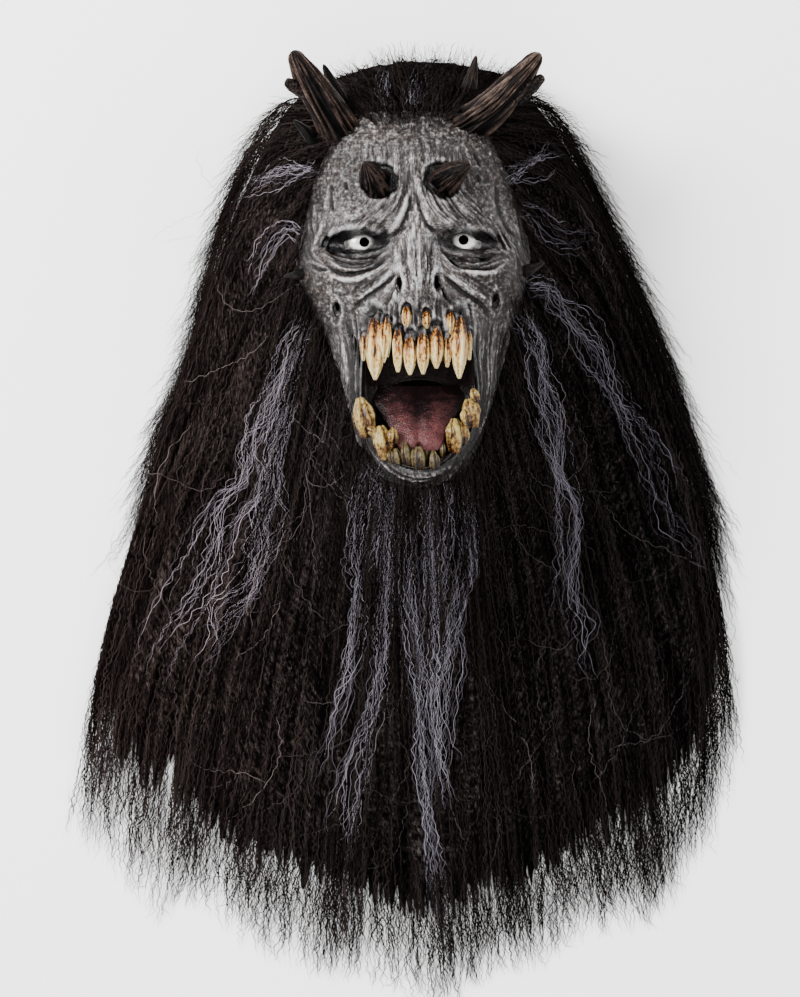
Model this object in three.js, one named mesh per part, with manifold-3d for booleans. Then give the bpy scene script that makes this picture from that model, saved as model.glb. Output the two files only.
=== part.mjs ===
import * as THREE from 'three';
import { mergeVertices } from 'three/addons/utils/BufferGeometryUtils.js';
import Module from 'manifold-3d';

// Over-the-head monster mask of cast latex with horns, teeth and long hair, lying on its back.
// Millimetres. +X is to the right of someone who looks at the face, +Y runs toward the crown
// and +Z out of the face. The origin is under the middle of the whole mask, on the surface.

// Driving sizes of the head
const EYE_LINE = { x: 4.6, y: 201 };
const WALL = 3.2;
const GAP = 0.5;
const CROWN_TIP = 115;
const CROWN_HEIGHT = 95;
const NECK_RIM = -225;
const FACE_GRID = { face: 22, nape: 6, spread: 1.2 };
const CAVITY_GRID = { face: 12, nape: 6, spread: 2.8 };
const HAIRLINE_GRID = { face: 16, nape: 6, spread: 2.6 };
const ROW_PITCH = { turn: 7.5, face: 8.5, neck: 16 };
const TURNS = { crown: 92, chin: -158, throat: -200 };
const TOP_ROWS = { head: 113, cavity: 108 };
const NAPE_SQUARE = 2.1;
const CAVITY_EVENNESS = 2.2;
const RELIEF_EDGE = 0.35;
const HAIR_CLEARANCE = 4.6;
const SMOOTHING = { fine: 0.12, latex: 0.2, hair: 0.7 };

// The skull, cut across at heights v above the eye line: half width, foremost and rearmost
// point, the height of the widest place, sideways shift and how square the front is
const SKULL = [
  { v: 113, half: 20, front: 124, back: 66, mid: 95, shift: 0, square: 2.0 },
  { v: 107, half: 40, front: 145, back: 46, mid: 95, shift: 0, square: 2.1 },
  { v: 97, half: 57, front: 164, back: 29, mid: 96, shift: 0, square: 2.2 },
  { v: 78, half: 72, front: 181, back: 15, mid: 98, shift: 0, square: 2.3 },
  { v: 50, half: 82, front: 192, back: 10.5, mid: 100, shift: 0, square: 2.35 },
  { v: 15, half: 86, front: 196, back: 10, mid: 106, shift: 0, square: 2.35 },
  { v: -20, half: 90, front: 196, back: 10.5, mid: 118, shift: 1, square: 2.3 },
  { v: -45, half: 79, front: 197, back: 13, mid: 118, shift: 3, square: 2.3 },
  { v: -75, half: 66, front: 198, back: 17, mid: 110, shift: 5, square: 2.3 },
  { v: -105, half: 63, front: 197, back: 21, mid: 104, shift: 6, square: 2.3 },
  { v: -135, half: 58, front: 193, back: 22, mid: 104, shift: 5.5, square: 2.2 },
  { v: -158, half: 52, front: 187, back: 21, mid: 100, shift: 5, square: 2.0 },
  { v: -172, half: 49, front: 178, back: 20, mid: 96, shift: 4.5, square: 1.9 },
  { v: -181, half: 48, front: 157, back: 18, mid: 86, shift: 4, square: 1.9 },
  { v: -188, half: 49, front: 130, back: 17, mid: 76, shift: 4, square: 2.0 },
  { v: -198, half: 51, front: 114, back: 16, mid: 66, shift: 3, square: 2.1 },
  { v: -226, half: 57, front: 108, back: 14, mid: 62, shift: 2, square: 2.1 },
];

// Modelling of the face: rounded swellings and hollows, wide sx and tall sv, rising out of it.
// Those marked pair stand on both sides, and lean turns their upper end outward, in radians.
const FACE_FORMS = [
  { x: 30, v: 12, sx: 15, sv: 7, rise: 9, pair: true },
  { x: 52, v: 13, sx: 10, sv: 7, rise: 7, pair: true },
  { x: 35, v: -1, sx: 15, sv: 7.5, rise: -17, pair: true },
  { x: 55, v: -2, sx: 8, sv: 6, rise: -9, pair: true },
  { x: 40, v: -20, sx: 17, sv: 6, rise: 5, pair: true },
  { x: 64, v: -30, sx: 13, sv: 11, rise: 7, pair: true },
  { x: 55, v: -62, sx: 10, sv: 20, rise: -9, pair: true },
  { x: 25, v: -42, sx: 7, sv: 9, rise: 4, pair: true },
  { x: 66, v: 27, sx: 10, sv: 14, rise: -7, pair: true },
  { x: 26, v: 42, sx: 11, sv: 11, rise: -7, pair: true },
  { x: 48, v: 68, sx: 13, sv: 11, rise: 6, pair: true },
  { x: 11, v: 20, sx: 6, sv: 13, rise: 5, pair: true },
  { x: 1, v: 48, sx: 9, sv: 24, rise: 5 },
  { x: 2, v: -9, sx: 8, sv: 13, rise: 10 },
  { x: 3.5, v: -33, sx: 8.5, sv: 9, rise: 21 },
  { x: -8.5, v: -29, sx: 5, sv: 9, rise: 8 },
  { x: 15.5, v: -29, sx: 5, sv: 9, rise: 8 },
  { x: 4, v: -60, sx: 38, sv: 9, rise: 5 },
  { x: 6, v: -169, sx: 21, sv: 7, rise: 6 },
  { x: 24, v: -36, sx: 5, sv: 15, rise: -6, lean: -0.84, pair: true },
  { x: 20, v: 20, sx: 5, sv: 13, rise: 4, lean: -0.6, pair: true },
];

// Cuts through or into the latex
const EYE_OPENINGS = [
  { x: -35.2, v: -0.5, halfWidth: 10.6, halfHeight: 5.6 },
  { x: 35.4, v: 0.4, halfWidth: 10.4, halfHeight: 5.6 },
];
const PITS = [
  { x: -10.6, v: -31.5, wide: 2.6, tall: 7, deep: 9 },
  { x: 17.5, v: -30, wide: 2.6, tall: 7, deep: 9 },
  { x: -54, v: -49, wide: 2.8, tall: 6.2, deep: 8 },
  { x: 58.5, v: -43, wide: 2.8, tall: 6.2, deep: 8 },
];

// The open mouth: its rim seen from the front, and the closed pocket behind it
const MOUTH_RIM = [
  [-34, -75], [-16, -72], [1, -71], [19, -71], [40, -72], [45, -88], [47.5, -108], [46, -126],
  [38.5, -144], [26, -156], [8.5, -162], [-9, -159.5], [-23, -150.5], [-34, -136.5],
  [-39, -119], [-38.5, -98],
];
const MOUTH_STEPS = 18;
const MOUTH_FRONT = 240;
const MOUTH_RINGS = [
  { z: 198, scale: 1 },
  { z: 182, scale: 0.97 },
  { z: 164, scale: 0.86 },
  { z: 150, scale: 0.66 },
];
const MOUTH_CENTRE = { x: 4.5, v: -108 };
const BREATHING_SLOT = { x: 4.5, v: -101.5, halfWidth: 17.5, halfHeight: 5 };

// From what height to what height each straight cut through the face runs
const CUT_REACH = { slot: [130, 175], eye: [150, 230], pupil: [150, 200] };

// Eyes: thin white domes behind the eye openings, with a round hole to look through
const EYE = { radius: 15.5, wall: 2.2, capHeight: 6.2, front: 176.5, hole: 3.6 };
const EYES = {
  eye_left: { x: -36.5, v: -0.7, hole: { x: -34.3, v: -0.3 } },
  eye_right: { x: 36.5, v: 0, hole: { x: 35.7, v: 1.2 } },
};

const TONGUE = [
  { v: -112, halfWidth: 22, halfThick: 4, z: 160 },
  { v: -120, halfWidth: 22, halfThick: 5.5, z: 165 },
  { v: -129, halfWidth: 20, halfThick: 6.5, z: 171 },
  { v: -137, halfWidth: 17, halfThick: 6, z: 177 },
  { v: -142, halfWidth: 13, halfThick: 4, z: 181 },
  { v: -145, halfWidth: 7, halfThick: 1.6, z: 182 },
];

// Upper teeth hang from the gum: root, tip height and width, from the left canine side
const UPPER_TEETH = [
  { x: -34.8, root: -66, tip: -84, width: 3.8 },
  { x: -26.5, root: -57, tip: -98, width: 11.4, canine: true },
  { x: -18, root: -56, tip: -82, width: 5 },
  { x: -10.6, root: -64, tip: -92.5, width: 6.6 },
  { x: -2, root: -69, tip: -94.5, width: 7.8 },
  { x: 7.2, root: -66, tip: -94, width: 7 },
  { x: 16.4, root: -63, tip: -90, width: 8 },
  { x: 24, root: -68, tip: -89, width: 5.2 },
  { x: 32.4, root: -56, tip: -97, width: 9.8, canine: true },
  { x: 39.6, root: -64, tip: -83.5, width: 3.4 },
  { x: -4.5, root: -49, tip: -61.5, width: 5.4, high: true },
  { x: 9.3, root: -52, tip: -62, width: 4.6, high: true },
  { x: 26.2, root: -52, tip: -66, width: 4.4, high: true },
];

// Lower teeth stand up from the jaw in two uneven rows, set back by the depth given
const JAW_EDGE = -160;
const LOWER_TEETH = [
  { root: [-36, -139], tip: [-35.5, -111], width: 13, depth: -7 },
  { root: [-18.5, -152], tip: [-23, -131], width: 11.5, depth: 0 },
  { root: [-10.2, -158.5], tip: [-12.2, -146.5], width: 5.8, depth: 0 },
  { root: [-3.2, -159], tip: [-5.5, -142], width: 6.6, depth: 1 },
  { root: [-5.5, -150], tip: [-8.5, -136], width: 5.6, depth: 9 },
  { root: [4.4, -162], tip: [3.6, -145.5], width: 7.2, depth: 0 },
  { root: [11.4, -154], tip: [11.6, -142], width: 6.6, depth: 9 },
  { root: [15, -162.5], tip: [14.4, -148.5], width: 6.2, depth: 0 },
  { root: [20.6, -153], tip: [20.6, -141], width: 4.2, depth: 7 },
  { root: [30, -148], tip: [29.5, -126], width: 10.6, depth: 0 },
  { root: [38, -143], tip: [36.6, -132], width: 4.6, depth: 2 },
  { root: [43.4, -130], tip: [39.5, -112], width: 9.8, depth: -4 },
  { root: [46, -114], tip: [42.6, -104.5], width: 5, depth: -4 },
];

// Horns and spikes: axis from inside the latex to the tip, radius at each point
const HORNS = {
  horn_left: {
    axis: [[-42, 271, 140], [-47, 281, 162], [-62, 304, 180], [-72, 320, 187], [-80, 334, 190]],
    radii: [11.5, 11.2, 9.2, 7, 3.4],
    fork: { from: [-70, 305, 182], to: [-85, 313, 189], radius: 5 },
    sides: 10, flutes: 5,
  },
  horn_right: {
    axis: [[32, 274, 138], [40, 281, 160], [62, 297, 179], [80, 316, 188], [94, 332, 191]],
    radii: [13.6, 13.2, 10.4, 8, 4.2],
    fork: { from: [76, 302, 184], to: [96.5, 316, 190], radius: 5.4 },
    sides: 10, flutes: 5,
  },
  horn_prong_left: {
    axis: [[-42, 288, 126], [-48, 304, 140], [-59, 329, 150]], radii: [8, 6.5, 1.2],
    sides: 8, flutes: 4,
  },
  horn_prong_right: {
    axis: [[40, 292, 110], [45, 312, 124], [50, 337, 132]], radii: [8, 6, 1.2],
    sides: 8, flutes: 4,
  },
  brow_horn_left: {
    axis: [[-20, 239, 176], [-21.8, 242.5, 192], [-26, 249, 205], [-29.5, 254, 212]],
    radii: [10.4, 10, 6.6, 1.4], sides: 9, flutes: 3,
  },
  brow_horn_right: {
    axis: [[24, 240, 176], [27.5, 243.5, 192], [36, 249, 204], [44, 253, 211]],
    radii: [10.4, 9.8, 6.6, 1.6], sides: 9, flutes: 3,
  },
  temple_spike_left: {
    axis: [[-58, 268, 132], [-69, 279, 143], [-79, 287, 150]], radii: [5, 4, 1], sides: 7, flutes: 3,
  },
  cheek_spike_left: {
    axis: [[-66, 180, 136], [-75, 178, 147], [-85, 177.5, 152]], radii: [4.4, 3.6, 0.8],
    sides: 7, flutes: 3,
  },
  cheek_spike_right: {
    axis: [[74, 178, 132], [85, 182, 143], [97, 187, 147]], radii: [4.6, 3.8, 0.8],
    sides: 7, flutes: 3,
  },
};

const FLUTE_DEPTH = 0.13;

// Hair: each guide is the path of one lock on the surface, from the edge of the face to its tip
const LEFT_GUIDES = [
  [[-39, 295], [-92, 308], [-134, 240], [-153, 153], [-191, 58]],
  [[-63, 249], [-127, 194], [-160, 93], [-220, -63], [-248, -216]],
  [[-73, 207], [-121, 114], [-168, 4], [-206, -122], [-224, -239]],
  [[-77, 181], [-105, 77], [-136, -25], [-168, -144], [-185, -284]],
  [[-63, 148], [-86, 48], [-115, -70], [-142, -182], [-158, -274]],
  [[-47, 111], [-64, 19], [-86, -99], [-105, -211], [-116, -306]],
  [[-35, 65], [-45, -25], [-54, -121], [-64, -226], [-70, -326]],
];
const BEARD_GUIDES = [
  LEFT_GUIDES.at(-1),
  [[-15, 35], [-21, -47], [-25, -136], [-30, -234], [-34, -331]],
  [[6, 26], [6, -61], [10, -158], [18, -258], [25, -353]],
  [[31, 33], [39, -54], [47, -144], [53, -241], [58, -332]],
  [[51, 54], [63, -32], [75, -121], [86, -226], [96, -322]],
];
const RIGHT_GUIDES = [
  BEARD_GUIDES.at(-1),
  [[63, 90], [87, 4], [110, -99], [125, -204], [137, -299]],
  [[74, 140], [109, 34], [136, -70], [157, -182], [169, -295]],
  [[85, 168], [134, 55], [169, -55], [185, -167], [196, -280]],
  [[91, 203], [149, 121], [191, 4], [217, -115], [220, -242]],
  [[77, 253], [149, 194], [199, 71], [229, -48], [246, -164]],
  [[48, 295], [101, 311], [151, 229], [196, 123], [236, -5]],
];
// The tops of the two outer locks are the sides of the crown's hair
const CROWN_SIDE_SHARE = 0.25;
const CROWN_GUIDES = [
  [[-29, 293], [-44, 314], [-59, 330]],
  [[-8, 293], [-15, 318], [-23, 343]],
  [[5, 293], [3, 318], [0, 347]],
  [[24, 293], [30, 318], [36, 345]],
  [[38, 294], [54, 316], [72, 337]],
];
const HAIR = {
  left: { rows: 7, locksPerGuide: 2, fall: [66, 100], heap: 44, lift: 5 },
  beard: { rows: 7, locksPerGuide: 2, fall: [100, 100], heap: 44, lift: 5 },
  right: { rows: 7, locksPerGuide: 2, fall: [100, 66], heap: 44, lift: 5 },
  crown: { rows: 4, locksPerGuide: 1, fall: [46, 46], heap: 36, lift: 6, blunt: true },
};
const LOCK_RIDGE = { root: 2, tip: 6.5 };
const LOCK_TIP_HEIGHT = 9;
const LOCK_VARIETY = 12.9;
const LOCK_NOTCH = 0.045;
const TIP_THICKNESS = 3;
const PARTING = 0.02;

// Under the head the back hair lies flat, parted at the nape for the neck opening
const MAT = { thickness: 9.4, inset: 3.6, drop: 40 };
const NECK_WAY = [
  { y: 52, halfWidth: 50, height: 46 },
  { y: -23.5, halfWidth: 50, height: 46 },
  { y: -24, halfWidth: 53, height: 98 },
  { y: -60, halfWidth: 45, height: 62 },
  { y: -96, halfWidth: 34, height: 30 },
];
const NECK_ARCH = { spring: 12, below: -5, steps: 9, square: 0.75 };

const wasm = await Module();
wasm.setup();

const lerp = THREE.MathUtils.lerp;
const clamp = THREE.MathUtils.clamp;
const signedPower = (value, power) => Math.sign(value) * Math.abs(value) ** power;
const faceX = (x) => EYE_LINE.x + x;
const faceY = (v) => EYE_LINE.y + v;

function signedVolume(positions, indices) {
  const a = new THREE.Vector3();
  const b = new THREE.Vector3();
  const c = new THREE.Vector3();
  let volume = 0;
  for (let i = 0; i < indices.length; i += 3) {
    a.fromArray(positions, indices[i] * 3);
    b.fromArray(positions, indices[i + 1] * 3);
    c.fromArray(positions, indices[i + 2] * 3);
    volume += a.dot(b.cross(c)) / 6;
  }
  return volume;
}

// A closed three.js geometry becomes a solid that can be joined and cut
function solidFromGeometry(geometry) {
  const bare = geometry.clone();
  bare.deleteAttribute('normal');
  bare.deleteAttribute('uv');
  const merged = mergeVertices(bare, 1e-4);
  const vertProperties = new Float32Array(merged.attributes.position.array);
  const triVerts = new Uint32Array(merged.index.array);
  if (signedVolume(vertProperties, triVerts) < 0) {
    triVerts.reverse();
  }
  return new wasm.Manifold(new wasm.Mesh({ numProp: 3, vertProperties, triVerts }));
}

function geometryFromSolid(solid) {
  const mesh = solid.getMesh();
  const geometry = new THREE.BufferGeometry();
  geometry.setAttribute('position', new THREE.Float32BufferAttribute(mesh.vertProperties, 3));
  geometry.setIndex(Array.from(mesh.triVerts));
  return geometry;
}

// Closed skin over rings of equal length, with a point or a flat end at each end
function loft(rings, startTip, endTip) {
  const count = rings[0].length;
  const points = rings.flat();
  const centre = (ring) => ring
    .reduce((sum, point) => sum.add(point), new THREE.Vector3())
    .divideScalar(ring.length);
  points.push(startTip ?? centre(rings[0]));
  points.push(endTip ?? centre(rings.at(-1)));
  const indices = [];
  for (let ring = 0; ring < rings.length - 1; ring += 1) {
    for (let i = 0; i < count; i += 1) {
      const next = (i + 1) % count;
      const a = ring * count + i;
      const b = ring * count + next;
      indices.push(a, b, a + count, b, b + count, a + count);
    }
  }
  const last = (rings.length - 1) * count;
  for (let i = 0; i < count; i += 1) {
    const next = (i + 1) % count;
    indices.push(points.length - 2, next, i);
    indices.push(points.length - 1, last + i, last + next);
  }
  const geometry = new THREE.BufferGeometry();
  geometry.setFromPoints(points);
  geometry.setIndex(indices);
  return solidFromGeometry(geometry);
}

// One value of the skull at height v, on a smooth curve through the named cuts
function skullAt(v, key) {
  const last = SKULL.length - 1;
  const next = clamp(SKULL.filter((cut) => cut.v > v).length, 1, last);
  const slope = (i) => {
    const low = SKULL[Math.min(i + 1, last)];
    const high = SKULL[Math.max(i - 1, 0)];
    return (low[key] - high[key]) / (low.v - high.v);
  };
  const from = SKULL[next - 1];
  const to = SKULL[next];
  const span = to.v - from.v;
  const t = clamp((v - from.v) / span, 0, 1);
  const t2 = t * t;
  const t3 = t2 * t;
  return (2 * t3 - 3 * t2 + 1) * from[key] + (t3 - 2 * t2 + t) * span * slope(next - 1)
    + (3 * t2 - 2 * t3) * to[key] + (t3 - t2) * span * slope(next);
}

// How far the modelling stands out of the plain skull; shrink narrows what stands proud and
// widens what is hollow, for the inner face of the wall
function faceForm(x, v, shrink) {
  let height = 0;
  for (const form of FACE_FORMS) {
    const narrower = shrink * Math.sign(form.rise);
    const sx = form.sx - narrower;
    const sv = form.sv - narrower;
    const across = (form.pair ? Math.abs(x - skullAt(v, 'shift')) : x) - form.x;
    const up = v - form.v;
    const lean = form.lean ?? 0;
    const dx = (across * Math.cos(lean) - up * Math.sin(lean)) / sx;
    const dv = (across * Math.sin(lean) + up * Math.cos(lean)) / sv;
    height += form.rise * Math.exp(-(dx * dx + dv * dv) / 2);
  }
  return height;
}

function faceHeight(x, v) {
  const across = Math.min(Math.abs(x - skullAt(v, 'shift')) / skullAt(v, 'half'), 1);
  const square = skullAt(v, 'square');
  const mid = skullAt(v, 'mid');
  const plain = mid + (skullAt(v, 'front') - mid) * (1 - across ** square) ** (1 / square);
  return plain + faceForm(x, v, 0);
}

function skullRing(v, inset, columns, shrink) {
  const ring = [];
  const half = skullAt(v, 'half') - inset;
  const mid = skullAt(v, 'mid');
  const front = skullAt(v, 'front') - inset - mid;
  const back = mid - skullAt(v, 'back') - inset;
  for (let i = 0; i < columns.face + columns.nape; i += 1) {
    const onFace = i < columns.face;
    const turn = onFace ? i / columns.face : 1 + (i - columns.face) / columns.nape;
    const angle = Math.PI * turn;
    const square = onFace ? skullAt(v, 'square') : NAPE_SQUARE;
    const across = -signedPower(Math.cos(angle), 2 / square);
    const out = signedPower(Math.sin(angle), 2 / square);
    const x = skullAt(v, 'shift') + half * across;
    const relief = onFace ? faceForm(x, v, shrink) * clamp(out / RELIEF_EDGE, 0, 1) : 0;
    const z = mid + out * (onFace ? front : back) + relief;
    ring.push(new THREE.Vector3(faceX(x), faceY(v), z));
  }
  return ring;
}

function rowHeights(top, bottom, spread) {
  const rows = [];
  let v = top;
  while (v > bottom) {
    rows.push(v);
    const turning = v > TURNS.crown || (v < TURNS.chin && v > TURNS.throat);
    const pitch = v > TURNS.chin ? ROW_PITCH.face : ROW_PITCH.neck;
    v -= turning ? ROW_PITCH.turn : pitch * spread;
  }
  rows.push(bottom);
  return rows;
}

// The outside of the head as one filled body, grown by the given amount all over
function filledHead(grow, grid) {
  const rows = rowHeights(TOP_ROWS.head, NECK_RIM, grid.spread);
  const rings = rows.map((v) => skullRing(v, -grow, grid, 0));
  const crown = new THREE.Vector3(faceX(0), faceY(CROWN_TIP + grow), CROWN_HEIGHT);
  return loft(rings, crown, null);
}

function headCavity(inset) {
  const rows = rowHeights(TOP_ROWS.cavity, NECK_RIM - 6, CAVITY_GRID.spread);
  const rings = rows.map((v) => skullRing(v, inset, CAVITY_GRID, CAVITY_EVENNESS));
  const crown = new THREE.Vector3(faceX(0), faceY(CROWN_TIP - inset), CROWN_HEIGHT);
  return loft(rings, crown, null);
}

function mouthRing(z, scale, grow) {
  const rim = MOUTH_RIM.map(([x, v]) => new THREE.Vector3(x, v, 0));
  const curve = new THREE.CatmullRomCurve3(rim, true);
  return curve.getSpacedPoints(MOUTH_STEPS).slice(0, MOUTH_STEPS).map((point) => {
    const dx = point.x - MOUTH_CENTRE.x;
    const dv = point.y - MOUTH_CENTRE.v;
    const reach = Math.hypot(dx, dv);
    const factor = scale + grow / reach;
    return new THREE.Vector3(
      faceX(MOUTH_CENTRE.x + dx * factor),
      faceY(MOUTH_CENTRE.v + dv * factor),
      z,
    );
  });
}

// The mouth as a filled pocket, grown sideways and toward the back by the given amount
function mouthPocket(grow) {
  const rings = [mouthRing(MOUTH_FRONT, 1, grow)];
  for (const ring of MOUTH_RINGS) {
    rings.push(mouthRing(ring.z - grow, ring.scale, grow));
  }
  return loft(rings);
}

// A straight cutter through the face, with pointed ends like an eye or round ones
function straightCut({ x, v, halfWidth, halfHeight }, reach, pointed) {
  const steps = 12;
  const ring = (z) => Array.from({ length: steps }, (_, i) => {
    const angle = (2 * Math.PI * i) / steps;
    const height = pointed ? signedPower(Math.sin(angle), 1.5) : Math.sin(angle);
    return new THREE.Vector3(
      faceX(x + halfWidth * Math.cos(angle)),
      faceY(v + halfHeight * height),
      z,
    );
  });
  return loft(reach.map(ring));
}

function ellipsoid(x, y, z, wide, tall, deep) {
  const ball = new THREE.SphereGeometry(1, 8, 6);
  ball.scale(wide, tall, deep);
  ball.translate(x, y, z);
  return solidFromGeometry(ball);
}

// The latex skin: one casting with the inside of the mouth, open at the neck
function headShell(grow) {
  const hollow = headCavity(WALL + grow).subtract(mouthPocket(WALL + grow));
  let shell = filledHead(grow, FACE_GRID).subtract(hollow).subtract(mouthPocket(-grow));
  const slot = { ...BREATHING_SLOT };
  slot.halfWidth -= grow;
  slot.halfHeight -= grow;
  shell = shell.subtract(straightCut(slot, CUT_REACH.slot, false));
  for (const opening of EYE_OPENINGS) {
    const cut = { ...opening };
    cut.halfWidth -= grow;
    cut.halfHeight -= grow;
    shell = shell.subtract(straightCut(cut, CUT_REACH.eye, true));
  }
  for (const pit of PITS) {
    const height = faceHeight(pit.x, pit.v);
    shell = shell.subtract(ellipsoid(
      faceX(pit.x), faceY(pit.v), height, pit.wide - grow, pit.tall - grow, pit.deep / 2,
    ));
  }
  return largestBody(shell);
}

function largestBody(solid) {
  const bodies = solid.decompose();
  return bodies.reduce((best, body) => (body.volume() > best.volume() ? body : best));
}

function eyeDome({ x, v, hole }, grow) {
  const centreZ = EYE.front - EYE.radius;
  const rimZ = EYE.front - EYE.capHeight;
  const profile = [];
  const steps = 2;
  const outer = EYE.radius + grow;
  const inner = EYE.radius - EYE.wall - grow;
  const edge = (radius) => Math.acos((rimZ - centreZ) / radius);
  profile.push(new THREE.Vector2(0, outer));
  for (let i = 1; i <= steps; i += 1) {
    const angle = (edge(outer) * i) / steps;
    profile.push(new THREE.Vector2(outer * Math.sin(angle), outer * Math.cos(angle)));
  }
  for (let i = steps; i >= 1; i -= 1) {
    const angle = (edge(inner) * i) / steps;
    profile.push(new THREE.Vector2(inner * Math.sin(angle), inner * Math.cos(angle)));
  }
  profile.push(new THREE.Vector2(0, inner));
  const dome = new THREE.LatheGeometry(profile, 12);
  dome.rotateX(Math.PI / 2);
  dome.translate(faceX(x), faceY(v), centreZ);
  const pupil = { x: hole.x, v: hole.v, halfWidth: EYE.hole - grow, halfHeight: EYE.hole - grow };
  return solidFromGeometry(dome).subtract(straightCut(pupil, CUT_REACH.pupil, false));
}

// Rings around a bent axis; the radius swells and sinks around it where it is fluted
function sweep(axis, radii, options, grow) {
  const { sides, flutes = 0, steps = axis.length * 2 - 1, flat = 1 } = options;
  const path = new THREE.CatmullRomCurve3(axis.map((point) => new THREE.Vector3(...point)));
  const rings = [];
  const up = new THREE.Vector3(0, 0, 1);
  for (let step = 0; step < steps; step += 1) {
    const t = step / (steps - 1);
    const along = path.getTangent(t);
    const right = new THREE.Vector3().crossVectors(along, up).normalize();
    const out = new THREE.Vector3().crossVectors(right, along).normalize();
    const place = t * (radii.length - 1);
    const from = Math.min(Math.floor(place), radii.length - 2);
    const radius = lerp(radii[from], radii[from + 1], place - from) + grow;
    const centre = path.getPoint(t);
    rings.push(Array.from({ length: sides }, (_, i) => {
      const angle = (2 * Math.PI * i) / sides;
      const swell = flutes ? 1 + FLUTE_DEPTH * Math.cos(flutes * angle + 2 * t) : 1;
      return centre.clone()
        .addScaledVector(right, radius * swell * Math.cos(angle))
        .addScaledVector(out, radius * swell * flat * Math.sin(angle));
    }));
  }
  return loft(rings);
}

function horn(spec, grow) {
  let solid = sweep(spec.axis, spec.radii, spec, grow);
  if (spec.fork) {
    const { from, to, radius } = spec.fork;
    const middle = from.map((value, i) => lerp(value, to[i], 0.6));
    const radii = [radius, radius * 0.8, 1.4];
    solid = solid.add(sweep([from, middle, to], radii, { sides: 7, flutes: 3 }, grow));
  }
  return solid;
}

function upperTooth(spec, grow) {
  const x = faceX(spec.x);
  const rootZ = faceHeight(spec.x, spec.root) + (spec.high ? 0 : -1);
  const tipLean = spec.canine ? 5 : 2.5;
  const middle = lerp(spec.root, spec.tip, 0.45);
  const axis = [
    [x, faceY(spec.root), rootZ - 2],
    [x, faceY(middle), rootZ + tipLean * 0.6],
    [x, faceY(spec.tip), rootZ - (spec.canine ? 1 : 3)],
  ];
  const radius = spec.width / 2;
  const radii = [radius * 0.7, radius, radius * 0.78, 0.5];
  return sweep(axis, radii, { sides: 6, steps: 4, flat: 0.85 }, grow);
}

function lowerTooth(spec, grow) {
  const [rootX, rootV] = spec.root;
  const [tipX, tipV] = spec.tip;
  const rimZ = faceHeight(rootX, Math.max(rootV, JAW_EDGE)) - 3 - spec.depth;
  const axis = [
    [faceX(rootX), faceY(rootV), rimZ - 3],
    [faceX((rootX + tipX) / 2), faceY(lerp(rootV, tipV, 0.5)), rimZ + 2],
    [faceX(tipX), faceY(tipV), rimZ + 1],
  ];
  const radius = spec.width / 2;
  const radii = [radius * 0.85, radius, radius * 0.85, radius * 0.25];
  return sweep(axis, radii, { sides: 6, steps: 4, flat: 0.75 }, grow);
}

function tongueSolid(grow) {
  const sides = 14;
  const rings = TONGUE.map(({ v, halfWidth, halfThick, z }) => (
    Array.from({ length: sides }, (_, i) => {
      const angle = (2 * Math.PI * i) / sides;
      const across = Math.cos(angle);
      const groove = Math.sin(angle) > 0 ? 2 * Math.exp(-((across / 0.3) ** 2)) : 0;
      return new THREE.Vector3(
        faceX(MOUTH_CENTRE.x + (halfWidth + grow) * across),
        faceY(v),
        z + (halfThick + grow) * Math.sin(angle) - groove,
      );
    })
  ));
  return loft(rings);
}

const guideCurve = (points) => new THREE.CatmullRomCurve3(
  points.map(([x, y]) => new THREE.Vector3(x, y, 0)), false, 'centripetal',
);

// The place at share t along the lock at position s between the guides
function lockPoint(curves, s, t) {
  const from = clamp(Math.floor(s), 0, curves.length - 2);
  return curves[from].getPoint(t).lerp(curves[from + 1].getPoint(t), s - from);
}

// Height of the hair: it leaves the face, falls over the side of the head and lies heaped
function hairHeight(root, point, t, style, side) {
  const away = Math.hypot(point.x - root.x, point.y - root.y);
  const start = faceHeight(root.x - EYE_LINE.x, root.y - EYE_LINE.y) + style.lift;
  const heap = lerp(style.heap, LOCK_TIP_HEIGHT, t ** 0.8);
  const drop = Math.exp(-((away / lerp(style.fall[0], style.fall[1], side)) ** 1.6));
  return heap + (start - heap) * drop;
}

// A sheet of locks: ridged along each lock, notched between the tips, flat underneath
function hairSheet(curves, style, sFrom, sTo) {
  const spans = curves.length - 1;
  const columns = Math.round(spans * style.locksPerGuide * 2);
  const top = [];
  for (let i = 0; i <= columns; i += 1) {
    const s = clamp((spans * i) / columns, sFrom, spans - sTo);
    const onRidge = i % 2 === 1;
    const lock = Math.sin(i * LOCK_VARIETY) * 0.5;
    const root = lockPoint(curves, s, 0);
    const column = [];
    for (let row = 0; row <= style.rows; row += 1) {
      const share = row / style.rows;
      const notch = onRidge ? LOCK_NOTCH * 0.3 * lock : -LOCK_NOTCH;
      const t = share * (1 + notch * share - LOCK_NOTCH * 0.3 * share);
      const point = lockPoint(curves, s, t);
      const ridge = lerp(LOCK_RIDGE.root, LOCK_RIDGE.tip, share) * (1 + lock * 0.5);
      const isTip = row === style.rows;
      const relief = onRidge ? ridge : -ridge * 0.4;
      const height = hairHeight(root, point, share, style, s / spans) + relief;
      point.z = isTip && !style.blunt ? TIP_THICKNESS : height;
      column.push(point);
    }
    top.push(column);
  }
  return slab(top);
}

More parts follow.
